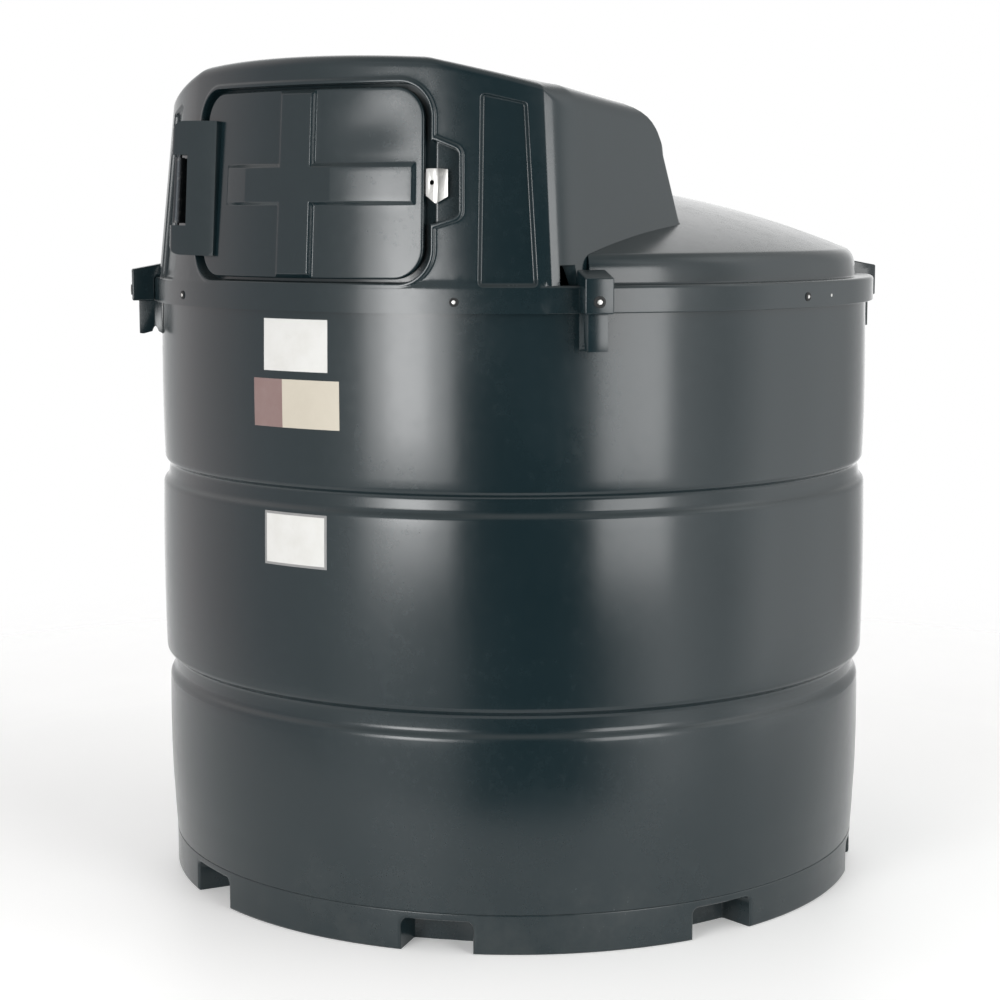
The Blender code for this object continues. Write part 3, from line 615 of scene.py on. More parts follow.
def flat_corners(outline):
    """An outline's corners in flat face coordinates, both in metres."""
    corners, radius = outline
    return np.array([(FLAT * math.radians(a), z) for a, z in corners]), radius


def within(points, border):
    """Which points lie inside a closed outline, by counting crossings."""
    inside = np.zeros(len(points), bool)
    x, y = points[:, 0], points[:, 1]
    for (x0, y0), (x1, y1) in zip(border, np.roll(border, -1, axis=0)):
        if y0 == y1:
            continue
        crossed = (y0 > y) != (y1 > y)
        inside ^= crossed & (x < x0 + (x1 - x0) * (y - y0) / (y1 - y0))
    return inside


def triangulate(border, loops, scatter, hole=None, spare=0.55):
    """Triangles over a flat region. Border and loops are kept; scattered points too near to others go."""
    fixed = [border] + list(loops)
    tree = KDTree(sum(len(loop) for loop in fixed) + len(scatter))
    points = []
    edges = []
    for loop in fixed:
        start = len(points)
        for k, point in enumerate(loop):
            tree.insert((*point, 0.0), len(points))
            points.append(tuple(point))
            edges.append((start + k, start + (k + 1) % len(loop)))
    tree.balance()
    for point, room in scatter:
        _, _, distance = tree.find((*point, 0.0))
        if distance > max(room * spare, 0.0003):
            points.append(tuple(point))
    made, _, triangles, source, _, _ = delaunay_2d_cdt(
        [Vector(p) for p in points], edges[len(border):], [list(range(len(border)))], 1, 1e-7, True)
    made = np.array([tuple(v) for v in made])
    triangles = np.array(triangles)
    middle = made[triangles].mean(axis=1)
    keep = within(middle, border)
    if hole is not None:
        keep &= ~hole(middle)
    triangles = triangles[keep]
    first = [min(ids) if ids else -1 for ids in source]
    return made, [tuple(t) for t in triangles], first


def face_radius(z):
    return FACE_R - FACE_LEAN * (z - HOOD_FOOT)


def face_line(angle):
    """Foot and top of the hood's face at the given angles."""
    angle = np.asarray(angle, float)
    far = np.minimum(1.0, np.abs(angle) / SHOULDER)
    beyond = np.maximum(0.0, (np.abs(angle) - SHOULDER) / (CREASE - SHOULDER))
    crown = SHOULDER_TOP + (CROWN_TOP - SHOULDER_TOP) * (1 - far ** 2)
    top_z = crown + (CREASE_TOP - SHOULDER_TOP) * beyond
    turn = angle * (1 - CREASE_TURN * (angle / CREASE) ** 2)
    top = polar(face_radius(top_z) - CREASE_TUCK * np.minimum(beyond, 1.0) ** 1.25, turn)
    foot = polar(FACE_R, angle)
    low = np.full(angle.shape, HOOD_FOOT)
    return np.concatenate([foot, low[..., None]], axis=-1), np.concatenate([top, top_z[..., None]], axis=-1)


def on_face(angle, z, out=0.0):
    """Points on the hood's face, pushed out along the radius."""
    angle, z = np.asarray(angle, float), np.asarray(z, float)
    foot, top = face_line(angle)
    t = (z - HOOD_FOOT) / (top[..., 2] - HOOD_FOOT)
    flat = foot[..., :2] + (top[..., :2] - foot[..., :2]) * t[..., None]
    reach = np.linalg.norm(flat, axis=-1)
    flat = flat * ((reach + out) / reach)[..., None]
    return np.concatenate([flat, z[..., None]], axis=-1)


def flat_to_face(points, out):
    return on_face(np.degrees(points[:, 0] / FLAT), points[:, 1], out)


def wall_line():
    """The wall's outer line from its foot to under the rim, as (r, z)."""
    edge = bpy.context.scene.tank_shape.band_edge
    corners = [(BASE_R - 0.0015, BASE_TOP + GAP), (BASE_R, BASE_TOP + 0.003, 0.002),
               (LOWER_R - 0.002, BEND, 0.09), (LOWER_R, LOWER_BAND[0], edge),
               (LOWER_R - BAND_DEPTH, LOWER_BAND[0] + BAND_EDGE, edge),
               (LOWER_R - BAND_DEPTH, LOWER_BAND[1] - BAND_EDGE, edge), (MIDDLE_R, LOWER_BAND[1], edge),
               (MIDDLE_R, UPPER_BAND[0], edge), (MIDDLE_R - BAND_DEPTH, UPPER_BAND[0] + BAND_EDGE, edge),
               (BODY_R - BAND_DEPTH, UPPER_BAND[1] - BAND_EDGE, edge), (BODY_R, UPPER_BAND[1], edge),
               (BODY_R, WALL_TOP)]
    return refine(soft_line(corners), 0.022)


def wall_bulge(r, z, angle):
    """Radius of the wall with its barrelled tiers and the unevenness of the moulding."""
    wave = bpy.context.scene.tank_shape.waviness
    out = np.array(r, float)
    for low, high in TIERS:
        t = np.clip((z - low) / (high - low), 0.0, 1.0)
        out = out + BARREL * (1 - (2 * t - 1) ** 2)
    a = np.radians(angle)
    uneven = np.sin(3 * a + 2.3 * z) + np.sin(7 * a - 5.1 * z + 1.0) + 0.7 * np.sin(11 * a + 9.0 * z + 2.0)
    fade = np.clip((z - BASE_TOP) / 0.08, 0.0, 1.0) * np.clip((1.50 - z) / 0.05, 0.0, 1.0)
    return out - wave * fade * (0.5 + uneven / 5.4)


class TANK_OT_wall(bpy.types.Operator):
    """Turn the ribbed wall: three barrelled tiers between two recessed bands"""
    bl_idname = "tank.wall"
    bl_label = "Bund wall"

    def execute(self, context):
        line = wall_line()
        inner_r = BASE_R - 0.022
        inner = np.array([(BODY_R - WALL, WALL_TOP), (BODY_R - WALL, UPPER_BAND[1] + 0.02),
                          (inner_r, UPPER_BAND[1] - 0.006), (inner_r, BASE_TOP + GAP)])
        rings = []
        for angle in 360.0 * np.arange(TURN_STEPS) / TURN_STEPS:
            outer = np.column_stack([polar(wall_bulge(line[:, 0], line[:, 1], angle), angle), line[:, 1]])
            rings.append(np.concatenate([outer, np.column_stack([polar(inner[:, 0], angle), inner[:, 1]])]))
        surface = Surface()
        surface.loft(rings, round_rows=True, round_stack=True)
        wall = surface.make("bund_wall", finishes["plastic"])
        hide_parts(*WALL_NODES)
        return {"FINISHED"}


class TANK_OT_base(bpy.types.Operator):
    """Turn the base ring and cut its eight notches with rounded mouths"""
    bl_idname = "tank.base"
    bl_label = "Base ring"

    def execute(self, context):
        fillet = context.scene.tank_shape.notch_edge
        corners = [(RING_INNER_R, 0.0), (BASE_R, 0.0, 0.007), (BASE_R, BASE_TOP, 0.0025),
                   (RING_INNER_R, BASE_TOP)]
        ring = turned("base_moulding", refine(soft_line(corners), 0.03))
        for i in range(NOTCHES):
            middle = 22.5 + 360.0 * i / NOTCHES
            carve(ring, notch_cutter(middle, fillet))
        dress(ring, finishes["plastic"], TANK, 35.0)
        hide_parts("base_ring")
        return {"FINISHED"}


def notch_cutter(middle, fillet):
    """The void of one notch, flared where it meets the outer face."""
    half = BASE_R * math.radians(NOTCH_ANGLE / 2)
    corners = [(-half, -0.05), (half, -0.05), (half, NOTCH_TOP), (-half, NOTCH_TOP)]
    rows = [(0.010, fillet)]
    for k in range(7):
        a = math.pi / 2 * k / 6
        rows.append((-fillet * (1 - math.cos(a)), fillet * (1 - math.sin(a))))
    rows += [(-NOTCH_DEPTH + 0.006, -0.002), (-NOTCH_DEPTH + 0.0015, -0.0045), (-NOTCH_DEPTH, -0.009)]
    rings = []
    for back, grow in rows:
        loop = rounded_loop(corners, 0.016, grow, 0.004)
        lift = (back / NOTCH_DEPTH) * 0.012 * np.clip(loop[:, 1] / NOTCH_TOP, 0.0, 1.0)
        angle = middle + np.degrees(loop[:, 0] / BASE_R)
        rings.append(np.column_stack([polar(BASE_R + back, angle), loop[:, 1] + lift]))
    return solid_of("notch", rings)


def dome_z(r):
    return DOME_APEX - DOME_CURVE * r * r


class TANK_OT_rear_cover(bpy.types.Operator):
    """Turn the domed rear cover and cut it out where the hood stands"""
    bl_idname = "tank.rear_cover"
    bl_label = "Rear cover"

    def execute(self, context):
        corners = [(BODY_R + SEAT, RIM_LOW), (RIM_R, RIM_LOW, 0.003), (RIM_R, RIM_HIGH, 0.004),
                   (LEDGE_R, LEDGE_TOP, 0.004), (COVER_R, LEDGE_TOP, 0.006), (COVER_R - 0.003, 1.590, 0.012),
                   (COVER_R - 0.007, 1.606, 0.006), (COVER_R - 0.014, 1.618, 0.006),
                   (0.874, dome_z(0.874), 0.005), (0.85, dome_z(0.85))]
        outer = refine(soft_line(corners, 4), 0.02)
        radii = np.linspace(0.83, 0.0, 41)
        dome = np.column_stack([radii, dome_z(radii)])
        under = np.column_stack([radii[::-2], dome_z(radii[::-2]) - DOME_T])
        inner = np.array([(0.85, dome_z(0.85) - DOME_T), (SKIRT_IN, 1.592), (SKIRT_IN, WALL_TOP + GAP),
                          (BODY_R + SEAT, WALL_TOP + GAP)])
        cover = turned("domed_cover", np.concatenate([outer, dome, under, inner]))
        angle = JOINT_ANGLE + math.degrees(JOINT_GAP / RIM_R)
        room = np.array([(0.87, 1.45), (1.0, 1.45), (1.0, 1.70), (0.87, 1.70)])
        carve(cover, turned("rim_cut", room, -angle, angle, 72))
        carve(cover, hood_solid("hood_cut", 0.0012, 0.10))
        dress(cover, finishes["plastic"], TANK, 30.0)
        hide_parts("rear_cover")
        return {"FINISHED"}


def curve_through(first, corner, last, steps):
    """Points of a rounded corner, without its first and with its last."""
    out = []
    for k in range(1, steps + 1):
        t = k / steps
        out.append((1 - t) ** 2 * first + 2 * t * (1 - t) * corner + t ** 2 * last)
    return out


def hood_columns(side_in=0.0, front_in=0.0, roof_in=0.0, columns=48):
    """Columns round the hood's plan as rows of foot (3), top (3), roof inset (2) and rounding radius (1).

    Gives the front row, the right side between, and the rear row; the left side mirrors the right."""
    def column(foot, top, radius):
        return np.array([*foot, *top, 0.0, 0.0, radius])

    def low_edge(col):
        slope = (col[3:6] - col[0:3]) / (col[5] - col[2])
        return col[3:6] - slope * col[8]

    angles = np.linspace(-FACE_EDGE, FACE_EDGE, 2 * columns + 1)
    feet, tops = face_line(angles)
    front = [column(f, t, FRONT_ROUND) for f, t in zip(feet, tops)]
    crease = column(*face_line(CREASE), FRONT_ROUND)
    flare = column((*FLARE_FOOT, HOOD_FOOT), (*FLARE_TOP, FLARE_TOP_Z), SIDE_ROUND)
    rear = column((*REAR_FOOT, HOOD_FOOT), (*REAR_TOP, REAR_TOP_Z),
                  SIDE_ROUND + (REAR_ROUND - SIDE_ROUND) * 0.7)
    middle = crease * 0.45 + flare * 0.55
    middle[0:2] += STRIP_BOW[0] * np.array(STRIP_OUT)
    middle[3:5] += STRIP_BOW[1] * np.array(STRIP_OUT)
    middle[8] = SIDE_ROUND
    crease[6:8] = -polar(FRONT_ROUND, CREASE) - (SIDE_ROUND * 0.7, 0.0)
    flare[6:8] = (-SIDE_ROUND, 0.008)
    rear[6:8] = (-SIDE_ROUND * 1.35, -REAR_ROUND)
    middle_in = (low_edge(crease)[:2] + crease[6:8] + low_edge(flare)[:2] + flare[6:8]) / 2
    middle[6:8] = middle_in - low_edge(middle)[:2]
    end = low_edge(crease)[:2] + crease[6:8]
    end_angle = math.degrees(math.atan2(end[0], -end[1]))
    short = np.linalg.norm(low_edge(crease)[:2]) - FRONT_ROUND - np.linalg.norm(end)
    for angle, col in zip(angles, front):
        share = abs(angle) / CREASE
        low = low_edge(col)[:2]
        reach = np.linalg.norm(low) - FRONT_ROUND - short * share ** 6
        col[6:8] = polar(reach, end_angle * angle / CREASE) - low
    rear_in = low_edge(rear)[:2] + rear[6:8]
    back = []
    widest = 1 - 0.030 / REAR_FOOT[0]
    for share in np.linspace(widest, -widest, 2 * columns + 1):
        crown = REAR_TOP_Z + (REAR_CROWN_TOP - REAR_TOP_Z) * (1 - share ** 2)
        col = column((REAR_FOOT[0] * share, REAR_FOOT[1], HOOD_FOOT), (REAR_TOP[0] * share, REAR_TOP[1], crown),
                     REAR_ROUND)
        col[6:8] = (rear_in[0] * share, rear_in[1]) - low_edge(col)[:2]
        back.append(col)

    def shift(col, by):
        moved = col.copy()
        moved[0:2] += by
        moved[3:5] += by
        return moved

    def inward(previous, here, following):
        normals = []
        for a, b in ((previous, here), (here, following)):
            d = b[:2] - a[:2]
            normals.append(np.array([d[1], -d[0]]) / np.linalg.norm(d))
        return -(normals[0] + normals[1]) / (1 + normals[0] @ normals[1])

    keys = [shift(crease, -polar(front_in, CREASE) - (side_in * 0.7, 0.0)),
            shift(middle, inward(crease, middle, flare) * side_in),
            shift(flare, inward(middle, flare, rear) * side_in),
            shift(rear, inward(flare, rear, back[0]) * side_in)]
    front = [shift(col, -polar(front_in, a)) for a, col in zip(angles, front)]
    back = [shift(col, (0.0, -side_in)) for col in back]
    c, m, f, r = keys
    side_end = r.copy()
    side_end[8] = SIDE_ROUND * 1.3
    near = front[-1] + (c - front[-1]) * 0.8
    right = [near] + curve_through(near, c, c + (m - c) * 0.06, 4)
    right += [c + (m - c) * share for share in CREASE_SHARES]
    right += curve_through(right[-1], m, f + (side_end - f) * 0.05, 12)
    straight = right[-1]
    turn_in = f + (side_end - f) * 0.93
    right += [straight + (turn_in - straight) * k / 18 for k in range(1, 19)]
    right += curve_through(turn_in, r, back[0], 9)[:-1]
    for col in front + right + back:
        col[5] -= roof_in
    return np.array(front), np.array(right), np.array(back)


def hood_rings(columns, wall_rows=14, round_rows=9):
    """Rings of the hood from foot to roof edge: those of the walls, then those of the rounding."""
    front, right, back = columns
    left = right[::-1].copy()
    left[:, [0, 3, 6]] *= -1
    edge = np.concatenate([front, right, back, left])
    foot, top, inset, radius = edge[:, 0:3], edge[:, 3:6], edge[:, 6:8], edge[:, 8]
    slope = (top - foot) / (top[:, 2] - foot[:, 2])[:, None]
    low = top - slope * radius[:, None]
    walls = [foot + (low - foot) * k / wall_rows for k in range(wall_rows + 1)]
    rounding = []
    for k in range(round_rows + 1):
        t = math.pi / 2 * k / round_rows
        ring = low.copy()
        ring[:, :2] += inset * (1 - math.cos(t))
        ring[:, 2] += radius * math.sin(t)
        rounding.append(ring)
    return np.array(walls), np.array(rounding)


def roof_grid(ring, cols, side):
    """Fills the hood's roof edge with a smooth sheet blended from its four sides."""
    front_row = ring[:cols]
    right_col = ring[cols - 1:cols + side + 1]
    back_row = ring[cols + side:2 * cols + side][::-1]
    left_col = np.concatenate([ring[:1], ring[:2 * cols + side - 1:-1], back_row[:1]])
    u = np.linspace(0, 1, cols)[None, :, None]
    v = np.linspace(0, 1, side + 2)[:, None, None]
    along = front_row[None] * (1 - v) + back_row[None] * v
    across = left_col[:, None] * (1 - u) + right_col[:, None] * u
    corner = ((front_row[0] * (1 - u) + front_row[-1] * u) * (1 - v)
              + (back_row[0] * (1 - u) + back_row[-1] * u) * v)
    return along + across - corner


def hood_solid(name, grow, drop):
    """The hood's closed outer form, grown all round and run down below its foot."""
    columns = hood_columns(-grow, -grow, columns=24)
    for part in columns:
        slope = (part[:, 3:6] - part[:, 0:3]) / (part[:, 5] - part[:, 2])[:, None]
        part[:, 0:3] -= slope * drop
    walls, rounding = hood_rings(columns)
    surface = Surface()
    surface.loft(walls, round_rows=True)
    surface.loft(rounding, round_rows=True)
    surface.add(*grid_faces(roof_grid(rounding[-1], len(columns[0]), len(columns[1]))))
    surface.cap(walls[0])
    return surface.make(name, None, body=None)


def grid_faces(grid):
    n, m = grid.shape[:2]
    faces = [(i * m + j, i * m + j + 1, (i + 1) * m + j + 1, (i + 1) * m + j)
             for i in range(n - 1) for j in range(m - 1)]
    return grid, faces


# Sections as distance from an outline, negative inside, in millimetres. The frame round the opening and the side
# panels give a height or depth in millimetres, the rebate's wall and the door's cross a share of theirs.
BEAD_SECTION = ((16, 0), (13, 0.15), (11.5, 0.7), (10, 2.3), (8.5, 4.0), (6.5, 4.8), (4, 5.0), (2.2, 4.9),
                (1.0, 4.3), (0.3, 3.1), (0, 1.6))
WALL_SECTION = ((0, 0.0), (-0.5, 0.30), (-1.0, 0.93), (-1.4, 0.975), (-2.2, 1.0))
BAR_SECTION = ((2.0, 0), (0.8, 0.015), (-0.3, 0.07), (-1.4, 0.17), (-4.0, 0.47), (-7.0, 0.81), (-8.2, 0.92),
               (-9.4, 0.98), (-11.0, 1.0))
PANEL_SECTION = ((3.0, 0), (1.6, 0.2), (0.4, 0.9), (-0.8, 2.2), (-2.4, 4.8), (-4.0, 7.4), (-5.4, 9.0),
                 (-6.8, 9.8), (-8.4, 10.0))
# Floor of the rebate and of the latch pocket: distance from the step between them, and depth, in metres
REBATE_FLOOR = ((-0.030, -0.0024, -0.0014, -0.0006, 0.0008, 0.0030, 0.070),
                (0.0270, 0.0320, 0.0230, 0.0164, 0.0145, POCKET_DEPTH, POCKET_DEPTH + 0.0035))


def step_down(distance, section):
    """Reads a section at the given distances, in metres."""
    places, heights = zip(*sorted(section))
    return np.interp(distance, np.array(places) / 1000, np.array(heights))


def face_relief(points):
    """How far the hood's face stands out at flat points: the frame, the rebate, the pockets and the rim."""
    opening = outline_distance(points, *flat_corners(OPENING))
    pocket = outline_distance(points, *flat_corners(LATCH_POCKET))
    edge = np.minimum(opening, pocket)
    out = step_down(edge, BEAD_SECTION) / 1000
    depth = np.interp(opening - POCKET_STEP, *REBATE_FLOOR)
    out -= (depth + 0.0016) * step_down(edge, WALL_SECTION)
    for side in (1, -1):
        corners, radius = flat_corners(SIDE_PANEL)
        panel = outline_distance(points * (side, 1), corners, radius)
        out -= step_down(panel, PANEL_SECTION) / 1000
    angle = np.abs(np.degrees(points[:, 0] / FLAT))
    proud = np.clip((1.572 - points[:, 1]) / 0.024, 0.0, 1.0)
    proud = proud * proud * (3 - 2 * proud) * np.clip((FACE_EDGE - angle) / 0.6, 0.0, 1.0)
    lift = proud * (RIM_R - face_radius(points[:, 1])).clip(0.0)
    return np.where(out > 0, np.maximum(out, lift), out + lift)


def panel_points(outline, offsets, step=0.003, side=1):
    corners, radius = flat_corners(outline)
    loops = [rounded_loop(corners, radius, offset / 1000, step) for offset in offsets]
    return [loop * (side, 1) for loop in loops]


def scattered(low, high, space):
    """A staggered lattice of points with the room that each wants."""
    out = []
    for j, z in enumerate(np.arange(low[1] + space, high[1], space * 0.9)):
        for s in np.arange(low[0] + space * (0.5 + 0.5 * (j % 2)), high[0], space):
            out.append(((s, z), space))
    return out


def with_lattice(scatter, border, space=0.011, clear=0.006):
    """Scattered points and, clear of them, a lattice over the region inside a border."""
    near = KDTree(len(scatter))
    for i, (p, _) in enumerate(scatter):
        near.insert((*p, 0.0), i)
    near.balance()
    lattice = scattered(border.min(axis=0), border.max(axis=0), space)
    return scatter + [(p, room) for p, room in lattice if near.find((*p, 0.0))[2] > clear]


def doorway_loop():
    corners, radius = flat_corners(OPENING)
    return rounded_loop(corners, radius, -REBATE_LIP, 0.004)


class TANK_OT_hood(bpy.types.Operator):
    """Model the hood with its door opening, frame, pockets and rolled roof edge"""
    bl_idname = "tank.hood"
    bl_label = "Hood"

    def execute(self, context):
        columns = hood_columns()
        cols, side = len(columns[0]), len(columns[1])
        walls, rounding = hood_rings(columns)
        surface = Surface()
        skin = np.concatenate([walls[:, cols - 1:], walls[:, :1]], axis=1)
        surface.loft(skin)
        surface.loft(rounding, round_rows=True)
        surface.add(*grid_faces(roof_grid(rounding[-1], cols, side)))
        angles = np.linspace(-FACE_EDGE, FACE_EDGE, cols)
        rim_rows = np.linspace(RIM_LOW, HOOD_FOOT, 6)
        outer = self.face(surface, walls, angles, rim_rows)
        shrunk = hood_columns(SKIN, FRONT_SKIN, SKIN)
        inner_walls, inner_rounding = hood_rings(shrunk)
        surface.loft(np.concatenate([inner_walls[:, cols - 1:], inner_walls[:, :1]], axis=1))
        surface.loft(inner_rounding, round_rows=True)
        surface.add(*grid_faces(roof_grid(inner_rounding[-1], cols, side)))
        inner = self.back_of_face(surface, inner_walls, angles)
        surface.loft([outer, inner], round_rows=True)
        self.close_foot(surface, walls[0], inner_walls[0], angles, rim_rows)
        hood = surface.make("cabinet_hood", None, body=None)
        for start, end in ((RIM_FROM, JOINT_ANGLE), (-JOINT_ANGLE, -RIM_FROM)):
            rim = soft_line([(BODY_R + SEAT, RIM_LOW - PROUD), (RIM_R + PROUD, RIM_LOW - PROUD, 0.003),
                             (RIM_R + PROUD, RIM_HIGH, 0.004), (LEDGE_R + PROUD, LEDGE_TOP + PROUD, 0.004),
                             (SKIRT_IN, LEDGE_TOP + PROUD), (SKIRT_IN, WALL_TOP + GAP),
                             (BODY_R + SEAT, WALL_TOP + GAP)], 4)
            carve(hood, turned("rim_end", rim, start, end, 8), "UNION")
        for start, end in ((LUG_ROOM_FROM, JOINT_ANGLE + 0.2), (-JOINT_ANGLE - 0.2, -LUG_ROOM_FROM)):
            room = np.array([(0.905, LEDGE_TOP), (1.0, LEDGE_TOP), (1.0, 1.601), (0.905, 1.604)])
            carve(hood, turned("lug_room", room, start, end, 4))
        dress(hood, finishes["plastic"], TANK, 32.0)
        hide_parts("hood_cover")
        return {"FINISHED"}

    def face(self, surface, walls, angles, rim_rows):
        """Adds the outer face and gives the ring where the doorway goes through."""
        cols = len(angles)
        s = FLAT * np.radians(angles)
        right = walls[1:, cols - 1]
        left = walls[1:, 0]
        low = [(x, RIM_LOW) for x in s]
        up = [(s[-1], z) for z in rim_rows[1:]] + [(s[-1], p[2]) for p in right]
        over = [(s[j], walls[-1, j, 2]) for j in range(cols - 2, -1, -1)]
        down = [(s[0], p[2]) for p in left[-2::-1]] + [(s[0], z) for z in rim_rows[:0:-1]]
        border = np.array(low + up + over + down)
        doorway = doorway_loop()
        scatter = []
        for offset in [p[0] for p in BEAD_SECTION] + [p[0] for p in WALL_SECTION[1:]] + [-3.2, -8, -15]:
            for outline in (OPENING, LATCH_POCKET):
                if outline is LATCH_POCKET and offset < -4:
                    continue
                for loop in panel_points(outline, [offset]):
                    opening = outline_distance(loop, *flat_corners(OPENING))
                    pocket = outline_distance(loop, *flat_corners(LATCH_POCKET))
                    keep = np.abs(np.minimum(opening, pocket) - offset / 1000) < 1e-4
                    scatter += [(p, 0.0) for p in loop[keep]]
        about_step = (-3.6, -2.4, -1.4, -0.6, 0.8, 3.0, 4.5)
        for loop in panel_points(OPENING, [POCKET_STEP * 1000 + offset for offset in about_step]):
            inside = outline_distance(loop, *flat_corners(LATCH_POCKET)) < -0.002
            scatter += [(p, 0.0) for p in loop[inside]]
        for side in (1, -1):
            for loop in panel_points(SIDE_PANEL, [4.5] + [p[0] for p in PANEL_SECTION] + [-10.0], 0.004, side):
                scatter += [(p, 0.0) for p in loop]
        scatter += [((x, z), 0.0) for x in s[1:-1] for z in (1.545, 1.552, 1.560, 1.566, 1.573)]
        scatter = thin(with_lattice(scatter, border), 0.0001)
        opening = flat_corners(OPENING)
        flat, triangles, first = triangulate(
            border, [doorway], scatter, lambda p: outline_distance(p, *opening) < -REBATE_LIP)
        placed = flat_to_face(flat, face_relief(flat))
        exact = np.concatenate([np.zeros((cols, 3)), np.zeros((len(rim_rows) - 1, 3)), right,
                                walls[-1, cols - 2::-1], left[-2::-1], np.zeros((len(rim_rows) - 1, 3))])
        for i, source in enumerate(first):
            if 0 <= source < len(exact) and exact[source].any():
                placed[i] = exact[source]
        surface.add(placed, triangles)
        return flat_to_face(doorway, face_relief(doorway))

    def back_of_face(self, surface, walls, angles):
        """Adds the inner side of the front wall and gives its doorway ring."""
        cols = len(angles)
        s = FLAT * np.radians(angles)
        right, left = walls[1:, cols - 1], walls[1:, 0]
        low = [(x, HOOD_FOOT) for x in s]
        over = [(s[j], walls[-1, j, 2]) for j in range(cols - 2, -1, -1)]
        border = np.array(low + [(s[-1], p[2]) for p in right] + over + [(s[0], p[2]) for p in left[-2::-1]])
        exact = np.concatenate([walls[0, :cols], right, walls[-1, cols - 2::-1], left[-2::-1]])
        doorway = doorway_loop()
        opening = flat_corners(OPENING)
        scatter = scattered(border.min(axis=0), border.max(axis=0), 0.02)
        flat, triangles, first = triangulate(
            border, [doorway], scatter, lambda p: outline_distance(p, *opening) < -REBATE_LIP)
        placed = flat_to_face(flat, -FRONT_SKIN)
        for i, source in enumerate(first):
            if 0 <= source < len(exact):
                placed[i] = exact[source]
        surface.add(placed, triangles)
        return flat_to_face(doorway, -FRONT_SKIN)

    def close_foot(self, surface, outer, inner, angles, rim_rows):
        """Closes the hood's underside: the rim's section at the front, a plain edge along the sides."""
        cols = len(angles)
        foot = np.column_stack([FLAT * np.radians(angles), np.full(cols, RIM_LOW)])
        foot_row = flat_to_face(foot, face_relief(foot))
        seat_low = np.column_stack([polar(BODY_R + SEAT, angles), np.full(cols, RIM_LOW)])
        seat_high = np.column_stack([polar(BODY_R + SEAT, angles), np.full(cols, HOOD_FOOT)])
        surface.loft([foot_row, seat_low, seat_high, inner[:cols]])
        outer_side = np.concatenate([outer[cols - 1:], outer[:1]])
        inner_side = np.concatenate([inner[cols - 1:], inner[:1]])
        surface.loft([outer_side, inner_side])
        for end in (0, -1):
            edge = np.column_stack([np.full(len(rim_rows), foot[end, 0]), rim_rows])
            rise = flat_to_face(edge, face_relief(edge))
            rise[-1] = outer[0 if end == 0 else cols - 1]
            under = [inner[0 if end == 0 else cols - 1], seat_high[end], seat_low[end]]
            surface.cap(np.concatenate([rise, under]))


def thin(scatter, least):
    """Drops free points that nearly coincide."""
    cells = set()
    out = []
    for (x, z), room in scatter:
        key = (round(x / least), round(z / least))
        if key in cells:
            continue
        for dx in (-1, 0, 1):
            for dz in (-1, 0, 1):
                cells.add((key[0] + dx, key[1] + dz))
        out.append(((x, z), room))
    return out


class TANK_OT_door(bpy.types.Operator):
    """Model the curved door leaf with its raised cross"""
    bl_idname = "tank.door"
    bl_label = "Door"

    def execute(self, context):
        corners, radius = flat_corners(DOOR)
        sections = (0.0, -0.15, -0.6, -1.3, -2.4, -4.0, -6.0, -8.5, -11.5)
        border = rounded_loop(corners, radius, 0.0, 0.004)
        scatter = []
        for offset in sections[1:]:
            scatter += [(p, 0.0) for p in rounded_loop(corners, radius, offset / 1000, 0.004)]
        bars = cross_bars()
        for offset, _ in BAR_SECTION:
            for bar in bars:
                loop = rounded_loop(bar, BAR_CORNER, offset / 1000, 0.004)
                nearest = np.min([outline_distance(loop, other, BAR_CORNER) for other in bars], axis=0)
                scatter += [(p, 0.0) for p in loop[np.abs(nearest - offset / 1000) < 1e-4]]
        for angle in (FOLD_LEFT, FOLD_RIGHT):
            for z in np.arange(CROSS_LOW + 0.010, CROSS_HIGH - 0.009, 0.005):
                for shift in (-1.2, 0.0, 1.2):
                    scatter.append(((FLAT * math.radians(angle) + shift / 1000, z), 0.0))
        flat, triangles, _ = triangulate(border, [], thin(with_lattice(scatter, border), 0.0003))
        surface = Surface()
        surface.add(flat_to_face(flat, door_relief(flat)), triangles)
        flat, triangles, _ = triangulate(border, [], scattered(border.min(axis=0), border.max(axis=0), 0.03))
        surface.add(flat_to_face(flat, DOOR_IN), triangles)
        edge = flat_to_face(border, door_relief(border))
        surface.loft([edge, flat_to_face(border, DOOR_IN)], round_rows=True)
        leaf = surface.make("door_panel", finishes["plastic"], LEAF, 32.0)
        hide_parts("door")
        return {"FINISHED"}


def cross_bars():
    """Outlines of the upright and the level bar of the cross in flat coordinates."""
    low, high = DOOR[0][0][1] + BAR_MARGIN, DOOR[0][2][1] - BAR_MARGIN
    upright = [(BAR_CENTRE - BAR_HALF, low), (BAR_CENTRE + BAR_HALF, low), (BAR_CENTRE + BAR_HALF, high),
               (BAR_CENTRE - BAR_HALF, high)]
    level = [(ARM_LEFT, CROSS_LOW), (ARM_RIGHT, CROSS_LOW), (ARM_RIGHT, CROSS_HIGH), (ARM_LEFT, CROSS_HIGH)]
    return [flat_corners((outline, 0.0))[0] for outline in (upright, level)]


def bar_top(angle):
    """How far the cross stands from the hood's face line, by angle: nearly flat between its two folds."""
    middle = (FOLD_LEFT + FOLD_RIGHT) / 2
    reach = (FOLD_RIGHT - FOLD_LEFT) / 2
    hollow = MIDDLE_TOP + (FOLD_TOP - MIDDLE_TOP) * ((angle - middle) / reach) ** 2
    arms = np.interp(angle, (ARM_LEFT, FOLD_LEFT, FOLD_RIGHT, ARM_RIGHT),
                     (ARM_LEFT_TOP, FOLD_TOP, FOLD_TOP, ARM_RIGHT_TOP))
    return np.where((angle > FOLD_LEFT) & (angle < FOLD_RIGHT), hollow, arms)


